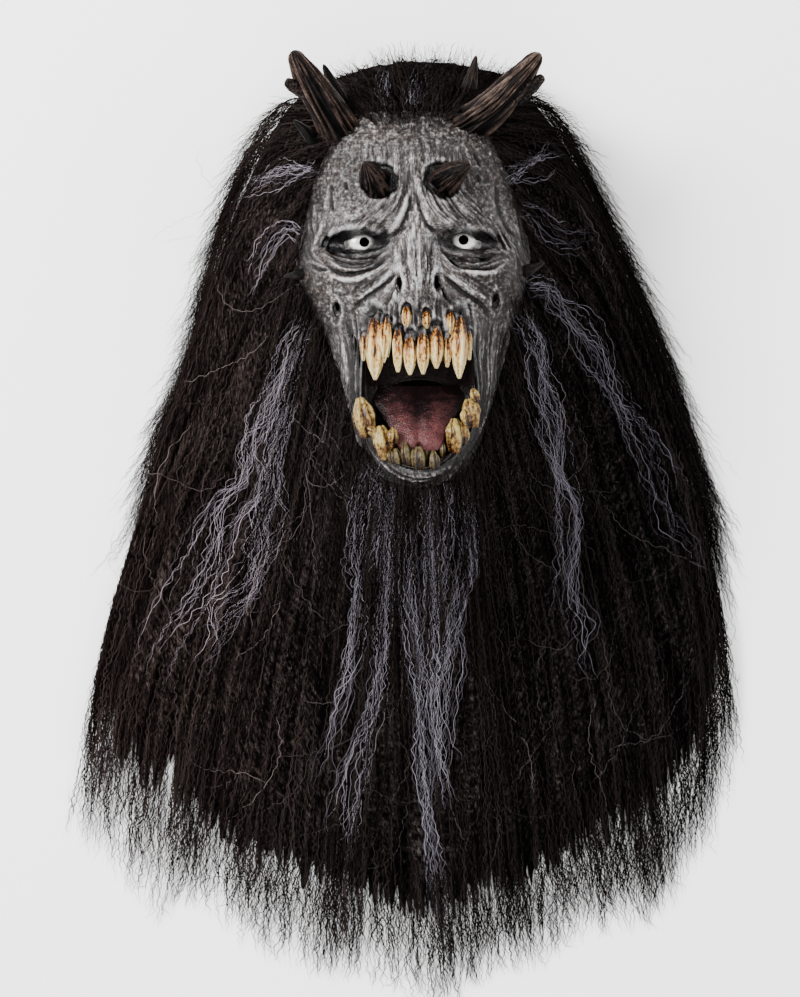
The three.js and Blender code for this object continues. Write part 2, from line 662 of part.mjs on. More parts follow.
// A closed body under a grid of points, with upright sides and a flat bottom at height zero
function slab(top) {
  const columns = top.length;
  const rows = top[0].length;
  const points = top.flat();
  const bottom = points.map((point) => new THREE.Vector3(point.x, point.y, 0));
  const under = points.length;
  const indices = [];
  const quad = (a, b, c, d) => indices.push(a, b, c, a, c, d);
  for (let i = 0; i < columns - 1; i += 1) {
    for (let j = 0; j < rows - 1; j += 1) {
      const a = i * rows + j;
      quad(a, a + 1, a + rows + 1, a + rows);
      quad(under + a, under + a + rows, under + a + rows + 1, under + a + 1);
    }
  }
  const corner = (columns - 1) * rows;
  const across = Array.from({ length: columns - 1 }, (_, i) => i);
  const along = Array.from({ length: rows - 1 }, (_, j) => j);
  const rim = [
    ...across.map((i) => i * rows),
    ...along.map((j) => corner + j),
    ...across.map((i) => corner + rows - 1 - i * rows),
    ...along.map((j) => rows - 1 - j),
  ];
  rim.forEach((from, i) => {
    const to = rim[(i + 1) % rim.length];
    quad(from, to, under + to, under + from);
  });
  const geometry = new THREE.BufferGeometry();
  geometry.setFromPoints([...points, ...bottom]);
  geometry.setIndex(indices);
  return solidFromGeometry(geometry);
}

// The arched way under the hair to the neck opening, open below where the back hair parts
function neckWay() {
  const { spring, below, steps, square } = NECK_ARCH;
  return loft(NECK_WAY.map(({ y, halfWidth, height }) => {
    const arch = Array.from({ length: steps }, (_, i) => {
      const angle = (Math.PI * i) / (steps - 1);
      const across = signedPower(Math.cos(angle), square);
      const up = signedPower(Math.sin(angle), square);
      return new THREE.Vector3(EYE_LINE.x + halfWidth * across, y, lerp(spring, height, up));
    });
    const corner = (side) => new THREE.Vector3(EYE_LINE.x + side * halfWidth, y, below);
    return [...arch, corner(-1), corner(1)];
  }));
}

// Flat back hair inside the line where the face hair is rooted
function backMat() {
  const roots = [...LEFT_GUIDES, ...BEARD_GUIDES.slice(1), ...RIGHT_GUIDES.slice(1)]
    .map((guide) => guide[0]);
  const ring = (z) => roots.map(([x, y]) => {
    const inward = new THREE.Vector2(EYE_LINE.x - x, EYE_LINE.y - MAT.drop - y).normalize();
    return new THREE.Vector3(x + inward.x * MAT.inset, y + inward.y * MAT.inset, z);
  });
  return loft([ring(0), ring(MAT.thickness)]);
}

const COLOURS = {
  latex: { color: 0x74706d, roughness: 0.62, metalness: 0 },
  horn: { color: 0x3a2b24, roughness: 0.55, metalness: 0 },
  tooth: { color: 0xd9c08a, roughness: 0.3, metalness: 0 },
  tongue: { color: 0x6e3a3c, roughness: 0.3, metalness: 0 },
  eye: { color: 0xdedcd4, roughness: 0.2, metalness: 0 },
  hair: { color: 0x1d1715, roughness: 0.7, metalness: 0 },
};

const mask = new THREE.Group();
mask.name = 'wendigo_mask';

function addPiece(name, solid, finish) {
  const smoothing = SMOOTHING[finish] ?? SMOOTHING.fine;
  const mesh = new THREE.Mesh(
    geometryFromSolid(largestBody(solid.simplify(smoothing))),
    new THREE.MeshStandardMaterial(COLOURS[finish]),
  );
  mesh.name = name;
  mask.add(mesh);
}

// Each piece is cut by what is already there, grown by the gap
addPiece('mask_head', headShell(0), 'latex');
let insideClaims = headShell(GAP);

function addFitted(name, build, finish) {
  addPiece(name, build(0).subtract(insideClaims), finish);
  insideClaims = insideClaims.add(build(GAP));
}

addFitted('tongue', tongueSolid, 'tongue');
for (const [name, eye] of Object.entries(EYES)) {
  addFitted(name, (grow) => eyeDome(eye, grow), 'eye');
}
UPPER_TEETH.forEach((tooth, i) => {
  addFitted(`upper_tooth_${i + 1}`, (grow) => upperTooth(tooth, grow), 'tooth');
});
LOWER_TEETH.forEach((tooth, i) => {
  addFitted(`lower_tooth_${i + 1}`, (grow) => lowerTooth(tooth, grow), 'tooth');
});

let outsideClaims = filledHead(GAP, FACE_GRID);
let hairClaims = filledHead(HAIR_CLEARANCE, HAIRLINE_GRID).add(neckWay());
for (const [name, spec] of Object.entries(HORNS)) {
  addPiece(name, horn(spec, 0).subtract(outsideClaims), 'horn');
  outsideClaims = outsideClaims.add(horn(spec, GAP));
  hairClaims = hairClaims.add(horn(spec, GAP));
}

const leftCurves = LEFT_GUIDES.map(guideCurve);
const beardCurves = BEARD_GUIDES.map(guideCurve);
const rightCurves = RIGHT_GUIDES.map(guideCurve);
const sideStretch = (guide) => {
  const curve = guideCurve(guide);
  const points = [0, 0.5, 1].map((t) => curve.getPoint(t * CROWN_SIDE_SHARE));
  return points.map((point) => [point.x, point.y]);
};
const crownCurves = [
  sideStretch(LEFT_GUIDES[0]),
  ...CROWN_GUIDES,
  sideStretch(RIGHT_GUIDES.at(-1)),
].map(guideCurve);

const hair = {
  hair_left: hairSheet(leftCurves, HAIR.left, PARTING, 0),
  hair_beard: hairSheet(beardCurves, HAIR.beard, PARTING, PARTING),
  hair_right: hairSheet(rightCurves, HAIR.right, 0, PARTING),
  hair_crown: hairSheet(crownCurves, HAIR.crown, PARTING, PARTING),
};
for (const [name, solid] of Object.entries(hair)) {
  addPiece(name, solid.subtract(hairClaims), 'hair');
}
addPiece('hair_back', backMat().subtract(hairClaims), 'hair');

export default mask;
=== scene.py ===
"""Visual finish of an over-the-head monster mask of cast latex that lies on its back.

The builders work in millimetres in the row frame: +X to the right of someone who looks at the
face, +Y toward the crown and +Z out of the face. Places on the face are x and v, measured from
the middle of the line between the eyes. Meshes are scaled to metres when made.
"""

import logging
import math
from dataclasses import dataclass, field, replace
from enum import Enum
from typing import Callable, Sequence

import bmesh
import bpy
import numpy as np
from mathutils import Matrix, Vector
from mathutils.bvhtree import BVHTree


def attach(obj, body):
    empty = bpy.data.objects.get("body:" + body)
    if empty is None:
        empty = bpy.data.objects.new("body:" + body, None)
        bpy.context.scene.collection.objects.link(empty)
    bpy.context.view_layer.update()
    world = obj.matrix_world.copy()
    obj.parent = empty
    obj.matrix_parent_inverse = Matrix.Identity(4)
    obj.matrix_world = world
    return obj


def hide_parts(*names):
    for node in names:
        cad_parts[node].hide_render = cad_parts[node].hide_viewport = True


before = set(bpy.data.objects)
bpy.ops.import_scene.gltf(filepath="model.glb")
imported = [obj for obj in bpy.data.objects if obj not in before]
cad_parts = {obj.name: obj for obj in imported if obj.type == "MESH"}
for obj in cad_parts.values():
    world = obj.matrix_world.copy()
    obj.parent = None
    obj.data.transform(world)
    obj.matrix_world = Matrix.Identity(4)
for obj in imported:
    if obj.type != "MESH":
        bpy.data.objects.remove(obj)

LOG = logging.getLogger("mask")
MM = 0.001
EYE_LINE_X = 4.6
EYE_LINE_Y = 201.0
PHOTO_SCALE = 0.70
PHOTO_EYE_LINE = (413.0, 240.0)
SEED = 20
FLOW_TURNS = (0.0, 0.25 * math.pi, 0.5 * math.pi, 0.75 * math.pi)

Points = np.ndarray
Number = Points | float
Pixel = tuple[float, float]
Place = tuple[float, float, float]
Colour = tuple[float, float, float]
Material = bpy.types.Material
Object = bpy.types.Object


class Slot(Enum):
    """Names of the material slots of the record."""

    SKIN = "latex_skin"
    HORN = "horn"
    TOOTH = "tooth"
    TONGUE = "tongue"
    LINING = "mouth_lining"
    EYE = "eye"
    HAIR = "hair"
    GREY_HAIR = "grey_hair"


def shares(count: int) -> Points:
    """Even shares from 0 to 1."""
    return np.linspace(0.0, 1.0, count)


def circle(count: int) -> Points:
    """Even angles round a circle."""
    return 2 * np.pi * np.arange(count) / count


def smoothstep(low: float, high: float, value: Number) -> Points:
    """Smooth rise from 0 at low to 1 at high."""
    t = np.clip((np.asarray(value, float) - low) / (high - low), 0.0, 1.0)
    return t * t * (3.0 - 2.0 * t)


def signed_power(value: Points, power: Number) -> Points:
    """Power of the size of value, with its sign kept."""
    return np.sign(value) * np.abs(value) ** power


def unit(vectors: Points) -> Points:
    """Vectors of length one."""
    return vectors / (np.linalg.norm(vectors, axis=-1, keepdims=True) + 1e-9)


def face_line(pixels: Sequence[Pixel]) -> Points:
    """Turn a line of readings in photo pixels into x and v on the face."""
    return (np.array(pixels) - PHOTO_EYE_LINE) * (PHOTO_SCALE, -PHOTO_SCALE)


def in_row(x: Number, v: Number, z: Number) -> Points:
    """Points of the row frame at x and v on the face and height z."""
    return np.stack(np.broadcast_arrays(EYE_LINE_X + x, EYE_LINE_Y + v, z), axis=-1)


def oval(x: float, v: float, wide: float, tall: float, z: float, count: int,
         point: float = 1.0) -> Points:
    """Ring round a place on the face, drawn to points at its sides where point is over 1."""
    angle = circle(count)
    return in_row(x + wide * np.cos(angle), v + tall * signed_power(np.sin(angle), point), z)


def lattice_noise(points: Points, seed: int) -> Points:
    """Smooth random values from -1 to 1.

    Args:
        points: Places as rows of x, y, z, one unit to a lattice cell.
        seed: Number that picks the pattern.

    Returns:
        One value for each row.
    """
    cell = np.floor(points).astype(np.int64)
    part = points - cell
    part = part * part * (3.0 - 2.0 * part)
    total = np.zeros(len(points))
    for corner in range(8):
        offset = np.array([corner & 1, (corner >> 1) & 1, (corner >> 2) & 1])
        key = cell + offset
        code = key[:, 0] * 374761393 + key[:, 1] * 668265263 + key[:, 2] * 1442695041
        code = code + seed * 1274126177
        code = (code ^ (code >> 13)) * 1274126177
        code = code ^ (code >> 16)
        weight = np.prod(np.where(offset == 1, part, 1.0 - part), axis=1)
        total += weight * ((code & 0xFFFF) / 32767.5 - 1.0)
    return total


def noise3(x: Number, y: Number, z: Number, seed: int) -> Points:
    """Lattice noise for arrays of any one shape."""
    places = np.stack(np.broadcast_arrays(x, y, z), axis=-1).astype(float)
    return lattice_noise(places.reshape(-1, 3), seed).reshape(places.shape[:-1])


def noise2(x: Number, y: Number, seed: int) -> Points:
    """Lattice noise over a plane, for arrays of any one shape."""
    return noise3(x, y, 0.37, seed)


def glide(t: Points, start: Points, end: Points, leave: Points, arrive: Points) -> Points:
    """Smooth run from start to end with the given slopes at both."""
    t2, t3 = t * t, t * t * t
    return ((2 * t3 - 3 * t2 + 1) * start + (t3 - 2 * t2 + t) * leave
            + (3 * t2 - 2 * t3) * end + (t3 - t2) * arrive)


def spline(points: Sequence, t: Sequence[float]) -> Points:
    """Centripetal curve through points, each span taking an equal share of t.

    Args:
        points: Rows of coordinates.
        t: Shares from 0 to 1.

    Returns:
        One row of coordinates for each share.
    """
    points = np.asarray(points, float)
    spans = len(points) - 1
    full = np.vstack([2.0 * points[0] - points[1], points, 2.0 * points[-1] - points[-2]])
    place = np.clip(np.asarray(t, float), 0.0, 1.0) * spans
    span = np.minimum(place.astype(int), spans - 1)
    p0, p1, p2, p3 = (full[span + k] for k in range(4))
    g0, g1, g2 = (np.linalg.norm(b - a, axis=1, keepdims=True) ** 0.5 + 1e-9
                  for a, b in ((p0, p1), (p1, p2), (p2, p3)))
    leave = ((p1 - p0) / g0 - (p2 - p0) / (g0 + g1) + (p2 - p1) / g1) * g1
    arrive = ((p2 - p1) / g1 - (p3 - p1) / (g1 + g2) + (p3 - p2) / g2) * g1
    return glide((place - span)[:, None], p1, p2, leave, arrive)


def closed_spline(points: Sequence, count: int) -> Points:
    """Evenly spaced points on a smooth closed curve.

    Args:
        points: Rows of coordinates around the curve.
        count: How many points to return.

    Returns:
        Rows of coordinates, without a repeat of the first.
    """
    points = np.asarray(points, float)
    ring = np.vstack([points[-2:], points, points[:3]])
    spans = len(ring) - 1
    fine = spline(ring, np.linspace(2 / spans, (2 + len(points)) / spans, 1200))
    run = np.concatenate([[0.0], np.cumsum(np.linalg.norm(np.diff(fine, axis=0), axis=1))])
    want = np.linspace(0.0, run[-1], count, endpoint=False)
    return np.stack([np.interp(want, run, column) for column in fine.T], axis=1)


def add_object(name: str, data: bpy.types.ID) -> Object:
    """Put an object into the scene."""
    thing = bpy.data.objects.new(name, data)
    bpy.context.collection.objects.link(thing)
    return thing


def store(mesh: bpy.types.Mesh, name: str, value: Points) -> None:
    """Keep a number or a colour for each point of a mesh."""
    kind, target = ("FLOAT_COLOR", "color") if value.ndim == 2 else ("FLOAT", "value")
    attribute = mesh.attributes.new(name, kind, "POINT")
    attribute.data.foreach_set(target, value.astype(np.float32).ravel())


def bake(thing: Object) -> None:
    """Turn an object and its modifiers into a plain mesh."""
    graph = bpy.context.evaluated_depsgraph_get()
    result = bpy.data.meshes.new_from_object(thing.evaluated_get(graph))
    thing.modifiers.clear()
    old, thing.data = thing.data, result
    bpy.data.meshes.remove(old)


def grid_faces(number: Points) -> list[list[int]]:
    """Faces over a grid of point numbers."""
    corners = (number[:-1, :-1], number[:-1, 1:], number[1:, 1:], number[1:, :-1])
    return np.stack(corners, axis=-1).reshape(-1, 4).tolist()


@dataclass
class Body:
    """Points and faces of one closed skin, with values stored on its points."""

    points: Points
    faces: list[list[int]]
    values: dict[str, Points] = field(default_factory=dict)
    uv: Points | None = None

    def join(self, other: "Body") -> None:
        """Add another closed body to this one."""
        first = len(self.points)
        self.points = np.vstack([self.points, other.points])
        self.faces = [*self.faces, *([k + first for k in face] for face in other.faces)]
        self.values = {key: np.concatenate([value, other.values[key]])
                       for key, value in self.values.items()}

    def to_object(self, name: str, material: Material) -> Object:
        """Make a smooth-shaded mesh object in metres with normals outward."""
        mesh = bpy.data.meshes.new(name)
        mesh.from_pydata((self.points * MM).tolist(), [], self.faces)
        mesh.materials.append(material)
        mesh.shade_smooth()
        for key, value in self.values.items():
            store(mesh, key, value)
        if self.uv is not None:
            corners = np.empty(len(mesh.loops), dtype=np.int32)
            mesh.loops.foreach_get("vertex_index", corners)
            layer = mesh.uv_layers.new(name="flow")
            layer.data.foreach_set("uv", self.uv[corners].astype(np.float32).ravel())
        shape = bmesh.new()
        shape.from_mesh(mesh)
        if shape.calc_volume(signed=True) < 0:
            mesh.flip_normals()
        shape.free()
        return add_object(name, mesh)


def loft(grid: Sequence, start: Points | None = None) -> Body:
    """Closed body over rings.

    Args:
        grid: Rings of equal length, as points of three coordinates.
        start: Point that closes the first ring, its centre if left out.

    Returns:
        The body, with its points in ring order and the two closing points last.
    """
    grid = np.asarray(grid)
    first = grid[0].mean(axis=0) if start is None else start
    points = np.vstack([grid.reshape(-1, 3), first, grid[-1].mean(axis=0)])
    number = np.arange(grid.shape[0] * grid.shape[1]).reshape(grid.shape[:2])
    number = np.column_stack([number, number[:, 0]])
    faces = grid_faces(number)
    low, high, end = number[0].tolist(), number[-1].tolist(), len(points) - 2
    faces += [[end, b, a] for a, b in zip(low, low[1:])]
    faces += [[end + 1, a, b] for a, b in zip(high, high[1:])]
    return Body(points, faces)


def sweep(axis: Sequence, radii: Sequence[float], sides: int, steps: int,
          profile: Callable[[Points, Points], Points], flat: float = 1.0) -> Body:
    """Body of round cuts around a bent axis.

    Args:
        axis: Points of the axis.
        radii: Radius at even shares of the axis.
        sides: Points around.
        steps: Cuts along.
        profile: Factor on the radius from angle and share along the axis.
        flat: Factor on the size toward the viewer.

    Returns:
        The body, with the share along the axis stored as "along".
    """
    t, angle = shares(steps), circle(sides)
    centre = spline(axis, t)
    tangent = np.gradient(centre, axis=0)
    right = unit(np.cross(unit(tangent), [0.0, 0.0, 1.0]))
    out = np.cross(right, unit(tangent))
    factor = np.broadcast_to(profile(angle[None, :], t[:, None]), (steps, sides))
    spread = np.interp(t, shares(len(radii)), radii)[:, None] * factor
    body = loft(centre[:, None, :] + right[:, None, :] * (spread * np.cos(angle))[:, :, None]
                + out[:, None, :] * (spread * flat * np.sin(angle))[:, :, None])
    body.values["along"] = np.concatenate([np.repeat(t, sides), [0.0, 1.0]])
    body.values["rib"] = np.concatenate([(factor.ravel() - 1.0) * 5.0, [0.0, 0.0]])
    return body


def boolean(target: Object, cutter: Object, operation: str = "DIFFERENCE") -> None:
    """Cut target by cutter or join the two, and delete the cutter."""
    modifier = target.modifiers.new("cut", "BOOLEAN")
    modifier.operation = operation
    modifier.object = cutter
    modifier.solver = "EXACT"
    modifier.material_mode = "TRANSFER"
    bake(target)
    bpy.data.objects.remove(cutter)


def finish_piece(thing: Object, slot: Slot, *nodes: str) -> None:
    """Put a piece on the one body and hide the imported parts of the nodes it stands for."""
    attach(thing, "root")
    if nodes:
        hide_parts(*nodes)
    thing.data.calc_loop_triangles()
    LOG.info("%s: %d triangles", thing.name, len(thing.data.loop_triangles))


class Wire:
    """Output of a node, which plain sums lead on into further nodes."""

    def __init__(self, tree: "NodeTree", socket: bpy.types.NodeSocket) -> None:
        """Keep the socket and its tree."""
        self.tree, self.socket = tree, socket

    def __add__(self, other: "Wire | float") -> "Wire":
        """Sum of the two."""
        return self.tree.math("ADD", self, other)

    def __sub__(self, other: "Wire | float") -> "Wire":
        """Difference of the two."""
        return self.tree.math("SUBTRACT", self, other)

    def __mul__(self, other: "Wire | float") -> "Wire":
        """Product of the two."""
        return self.tree.math("MULTIPLY", self, other)

    def __truediv__(self, other: "Wire | float") -> "Wire":
        """Quotient of the two."""
        return self.tree.math("DIVIDE", self, other)

    def sine(self) -> "Wire":
        """Sine of the value."""
        return self.tree.math("SINE", self)


class NodeTree:
    """Adds nodes to one tree and wires them."""

    def __init__(self, tree: bpy.types.NodeTree) -> None:
        """Keep the tree."""
        self.tree = tree

    def plug(self, socket: bpy.types.NodeSocket, value: object) -> None:
        """Lead a wire into a socket, or set its value."""
        if isinstance(value, Wire):
            self.tree.links.new(value.socket, socket)
        elif value is not None:
            socket.default_value = value

    def node(self, kind: str, inputs: dict | None = None, **settings: object) -> bpy.types.Node:
        """Add a node.

        Args:
            kind: Type name of the node.
            inputs: Values or wires for its inputs, by name or number.
            settings: Properties of the node.

        Returns:
            The node.
        """
        node = self.tree.nodes.new(kind)
        for key, value in settings.items():
            setattr(node, key, value)
        for key, value in (inputs or {}).items():
            self.plug(node.inputs[key], value)
        return node

    def add(self, kind: str, inputs: dict | None = None, output: int | str = 0,
            **settings: object) -> Wire:
        """Add a node as node() does, and return one of its outputs."""
        return Wire(self, self.node(kind, inputs, **settings).outputs[output])

    def math(self, operation: str, a: Wire, b: Wire | float = 0.0) -> Wire:
        """Result of one sum on two numbers or wires."""
        return self.add("ShaderNodeMath", {0: a, 1: b}, operation=operation)


class Paint(NodeTree):
    """Adds nodes to one material and wires them."""

    def __init__(self, name: str) -> None:
        """Start a material with one surface shader."""
        self.material = bpy.data.materials.new(name)
        self.material.use_nodes = True
        super().__init__(self.material.node_tree)

    def place(self) -> Wire:
        """Place on the object, in metres."""
        return self.add("ShaderNodeTexCoord", output="Object")

    def attribute(self, name: str) -> Wire:
        """Value stored on the mesh."""
        return self.add("ShaderNodeAttribute", output="Fac", attribute_name=name)

    def noise(self, vector: Wire, scale: float, detail: float = 3.0, rough: float = 0.55) -> Wire:
        """Noise at the given vector, from 0 to 1."""
        return self.add("ShaderNodeTexNoise", {"Vector": vector, "Scale": scale, "Detail": detail,
                                               "Roughness": rough})

    def centred(self, *noise: Wire | float) -> Wire:
        """Noise moved so that its middle is zero."""
        return self.noise(*noise) - 0.5

    def mapping(self, vector: Wire, scale: Place, turn: float = 0.0) -> Wire:
        """Vector measured in steps of scale along axes turned about Z."""
        return self.add("ShaderNodeMapping", {"Vector": vector, "Scale": scale,
                                              "Rotation": (0.0, 0.0, turn)}, vector_type="TEXTURE")

    def ramp(self, factor: Wire, *stops: tuple[float, Colour]) -> Wire:
        """Colour that runs through stops of place and colour."""
        node = self.node("ShaderNodeValToRGB", {0: factor})
        elements = node.color_ramp.elements
        while len(elements) < len(stops):
            elements.new(1.0)
        for element, (place, colour) in zip(elements, stops):
            element.position = place
            element.color = (*colour, 1.0)
        return Wire(self, node.outputs[0])

    def tint(self, factor: Wire | float, colour: Wire, tint: Wire | Colour) -> Wire:
        """Colour multiplied by a tint, as far as the factor says."""
        tint = tint if isinstance(tint, Wire) else (*tint, 1.0)
        return self.add("ShaderNodeMix", {0: factor, 6: colour, 7: tint}, 2, data_type="RGBA",
                        blend_type="MULTIPLY")

    def browner(self, colour: Wire) -> Wire:
        """Hair colour, browner and with painted light at the left of the face, blacker and in painted
        shade at the right.
        """
        side = self.range(self.add("ShaderNodeSeparateXYZ", {0: self.place()}), -0.20, 0.18)
        return self.tint(1.0, colour, self.ramp(side, (0.0, (1.0, 0.86, 0.83)),
                                                (0.5, (0.60, 0.575, 0.58)),
                                                (1.0, (0.44, 0.425, 0.445))))

    def bump(self, height: Wire, distance: float, strength: float = 1.0) -> Wire:
        """Normal from a height of which one unit is distance, in metres."""
        return self.add("ShaderNodeBump",
                        {"Height": height, "Distance": distance, "Strength": strength})

    def range(self, value: Wire, low: float, high: float, to_low: float = 0.0,
              to_high: float = 1.0) -> Wire:
        """Value moved from one range to another, held inside it."""
        return self.add("ShaderNodeMapRange", {0: value, 1: low, 2: high, 3: to_low, 4: to_high})

    def surface(self, colour: Wire | Colour, roughness: Wire | float, normal: Wire | None = None,
                **uniform: float) -> Material:
        """Wire the shader and return the material.

        Args:
            colour: Base colour, a wire or four numbers.
            roughness: Wire or number.
            normal: Normal.
            uniform: Values for other inputs of the shader, by name with _ for spaces.

        Returns:
            The finished material.
        """
        inputs = self.tree.nodes["Principled BSDF"].inputs
        for key, value in {"Base Color": colour, "Roughness": roughness, "Normal": normal,
                           **uniform}.items():
            self.plug(inputs[key.replace("_", " ")], value)
        return self.material


@dataclass(frozen=True)
class SkinFinish:
    """Black and brown latex with light grey brushed dry over its ridges, and with painted highlights
    and painted shade laid into the tone.
    """

    grain: Place = (0.0062, 0.00095, 0.00095)
    deep: Colour = (0.0022, 0.0018, 0.0018)
    dark: Colour = (0.0095, 0.0075, 0.0070)
    middle: Colour = (0.040, 0.0362, 0.0352)
    light: Colour = (0.112, 0.108, 0.109)
    bright: Colour = (0.33, 0.33, 0.343)
    umber: Colour = (0.80, 0.56, 0.41)
    black_paint_and_shade: Colour = (0.06, 0.06, 0.065)

    def build(self) -> Material:
        """Make the material from the values stored on the mesh."""
        p = Paint("latex_skin")
        place, lumpy, black_paint_and_shade = p.place(), p.attribute("lumpy"), p.attribute("black_paint_and_shade")
        flow = p.node("ShaderNodeAttribute", attribute_name="flow_weight")
        split = p.node("ShaderNodeSeparateColor", {0: Wire(p, flow.outputs["Color"])})
        grain = 0.0
        for turn, weight in zip(FLOW_TURNS, (*split.outputs[:3], flow.outputs["Alpha"])):
            streak = p.centred(p.mapping(place, self.grain, turn), 1.0, 2.0, 0.6)
            grain = streak * Wire(p, weight) + grain
        speck = p.centred(place, 1050.0, 2.0, 0.6)
        grit = p.centred(place, 480.0, 2.0, 0.6) * p.range(lumpy, 0.0, 1.0, 0.45, 1.35)
        grain = grain * p.range(lumpy, 0.0, 1.0, 1.0, 0.12)
        # the ridge value holds the dry-brushed light paint with painted highlights and painted shade
        # laid into it
        tone = p.attribute("ridge") + grain * 1.25 + speck * 0.6 + grit * 0.8
        tone = tone + p.centred(place, 60.0) * 0.3
        colour = p.ramp(tone, (0.12, self.deep), (0.31, self.dark), (0.50, self.middle),
                        (0.70, self.light), (0.95, self.bright))
        earth = p.attribute("earth") * p.range(p.noise(place, 130.0), 0.35, 0.65)
        # near black where the mask is painted black and where shade is painted in round the horn
        # sockets and under the brows
        colour = p.tint(black_paint_and_shade, p.tint(earth, colour, self.umber), self.black_paint_and_shade)
        height = grain * 1.5 + speck * 0.5 + grit * 0.7
        return p.surface(colour, p.range(black_paint_and_shade, 0.0, 1.0, 0.55, 0.2), p.bump(height, 0.0006, 0.85),
                         Specular_IOR_Level=0.18)


@dataclass(frozen=True)
class InsideFinish:
    """Bare latex on the inside of the casting."""

    light: Colour = (0.30, 0.235, 0.16)
    dark: Colour = (0.15, 0.11, 0.07)

    def build(self) -> Material:
        """Make the material."""
        p = Paint("latex_inside")
        colour = p.ramp(p.noise(p.place(), 40.0, 5.0), (0.35, self.dark), (0.65, self.light))
        return p.surface(colour, 0.6, p.bump(p.noise(p.place(), 300.0), 0.0006))


@dataclass(frozen=True)
class LiningFinish:
    """Black paint in the mouth, reddish where it is thin, and glossy beside the tongue."""

    name: str
    gloss: float
    rough: float
    black: Colour = (0.003, 0.002, 0.002)
    dull: Colour = (0.012, 0.007, 0.0075)
    worn: Colour = (0.035, 0.019, 0.02)

    def build(self) -> Material:
        """Make the material."""
        p = Paint(self.name)
        fine = p.noise(p.place(), 420.0, 4.0, 0.65)
        colour = p.ramp(fine, (0.35, self.black), (0.6, self.dull), (0.8, self.worn))
        return p.surface(colour, self.rough, p.bump(fine, 0.0024), Specular_IOR_Level=self.gloss)


@dataclass(frozen=True)
class TongueFinish:
    """Dusky red glossy paint, black toward the throat and pinker at the lobes."""

    throat: Colour = (0.006, 0.003, 0.0033)
    root: Colour = (0.040, 0.014, 0.0145)
    middle: Colour = (0.090, 0.028, 0.028)
    lobe: Colour = (0.058, 0.021, 0.020)

    def build(self) -> Material:
        """Make the material from the share along the tongue and the dark of its sides."""
        p = Paint("tongue")
        place = p.place()
        buds = p.add("ShaderNodeTexVoronoi", {"Vector": place, "Scale": 900.0}, "Distance")
        tone = p.attribute("along") * 0.8 + p.centred(place, 170.0, 4.0) * 0.75
        tone = tone + p.centred(place, 800.0, 2.0) * 0.5 + p.attribute("rim") * -0.5
        colour = p.ramp(tone, (0.05, self.throat), (0.34, self.root), (0.60, self.middle),
                        (0.82, self.lobe))
        colour = p.tint(p.range(buds, 0.25, 0.7, 0.0, 0.6), colour, (0.25, 0.2, 0.2))
        return p.surface(colour, 0.3, p.bump(buds * -1.0, 0.0006, 0.7), Specular_IOR_Level=0.15)


@dataclass(frozen=True)
class ToothFinish:
    """Cream tooth, stained amber and brown from the root."""

    name: str
    tip: Colour
    wash: Colour
    amber: Colour
    root: Colour
    blot: float
    stain: float
    reach: float

    def build(self) -> Material:
        """Make the material from the share along the tooth and its ribs."""
        p = Paint(self.name)
        place, rib = p.place(), p.attribute("rib")
        streak = p.centred(p.mapping(place, (0.0010, 0.010, 0.0010)), 1.0, 3.0, 0.6)
        mess = streak + p.centred(place, 340.0, 4.0, 0.6) * self.blot
        tone = (p.attribute("along") + mess * self.stain + rib * 0.5) / self.reach
        bright = tuple(c * 1.15 for c in self.tip)
        colour = p.ramp(tone, (0.02, self.root), (0.20, self.amber), (0.40, self.wash),
                        (0.62, self.tip), (1.0, bright))
        colour = p.tint(p.range(streak, 0.04, 0.14, 0.0, 0.9), colour, (0.34, 0.14, 0.04))
        return p.surface(colour, 0.26, p.bump(mess + rib, 0.0007, 0.7), Specular_IOR_Level=0.22)


CREAM = ToothFinish("tooth_upper", (0.46, 0.38, 0.185), (0.36, 0.20, 0.045),
                    (0.16, 0.045, 0.0045), (0.011, 0.0035, 0.0015), 0.22, 2.9, 1.22)
AMBER = ToothFinish("tooth_side", (0.235, 0.18, 0.060), (0.125, 0.068, 0.015),
                    (0.062, 0.021, 0.0035), (0.006, 0.0025, 0.0012), 0.9, 2.5, 1.35)
OLIVE = ToothFinish("tooth_front", (0.064, 0.050, 0.019), (0.028, 0.019, 0.007),
                    (0.020, 0.008, 0.0025), (0.003, 0.0016, 0.001), 0.9, 2.3, 1.3)


@dataclass(frozen=True)
class HornFinish:
    """Dark brown horn with black grooves and worn reddish ridges."""

    black: Colour = (0.0006, 0.0005, 0.0005)
    dark: Colour = (0.0022, 0.0015, 0.0014)
    brown: Colour = (0.0072, 0.0048, 0.0040)
    worn: Colour = (0.027, 0.0170, 0.0132)
    edge: Colour = (0.090, 0.060, 0.047)

    def build(self) -> Material:
        """Make the material from the groove values on the mesh."""
        p = Paint("horn")
        fine = p.centred(p.place(), 800.0)
        tone = p.attribute("groove") + p.centred(p.place(), 90.0, 4.0) * 0.5 + fine * 0.5
        colour = p.ramp(tone, (0.31, self.black), (0.46, self.dark), (0.62, self.brown),
                        (0.80, self.worn), (1.0, self.edge))
        return p.surface(colour, 0.45, p.bump(fine, 0.0007, 0.8), Specular_IOR_Level=0.05)


@dataclass(frozen=True)
class EyeFinish:
    """Glossy white of the eye, with painted shade toward the rim."""

    rim: Colour = (0.02, 0.018, 0.017)
    dull: Colour = (0.22, 0.215, 0.20)
    white: Colour = (0.56, 0.56, 0.545)

    def build(self) -> Material:
        """Make the material."""
        p = Paint("eye")
        # the edge value darkens the white toward its rim: painted shade where the lids overhang it
        tone = p.noise(p.place(), 220.0, 4.0) + p.attribute("edge") * -0.45
        colour = p.ramp(tone, (0.0, self.rim), (0.3, self.dull), (0.5, self.white))
        return p.surface(colour, 0.12, Coat_Weight=0.4)


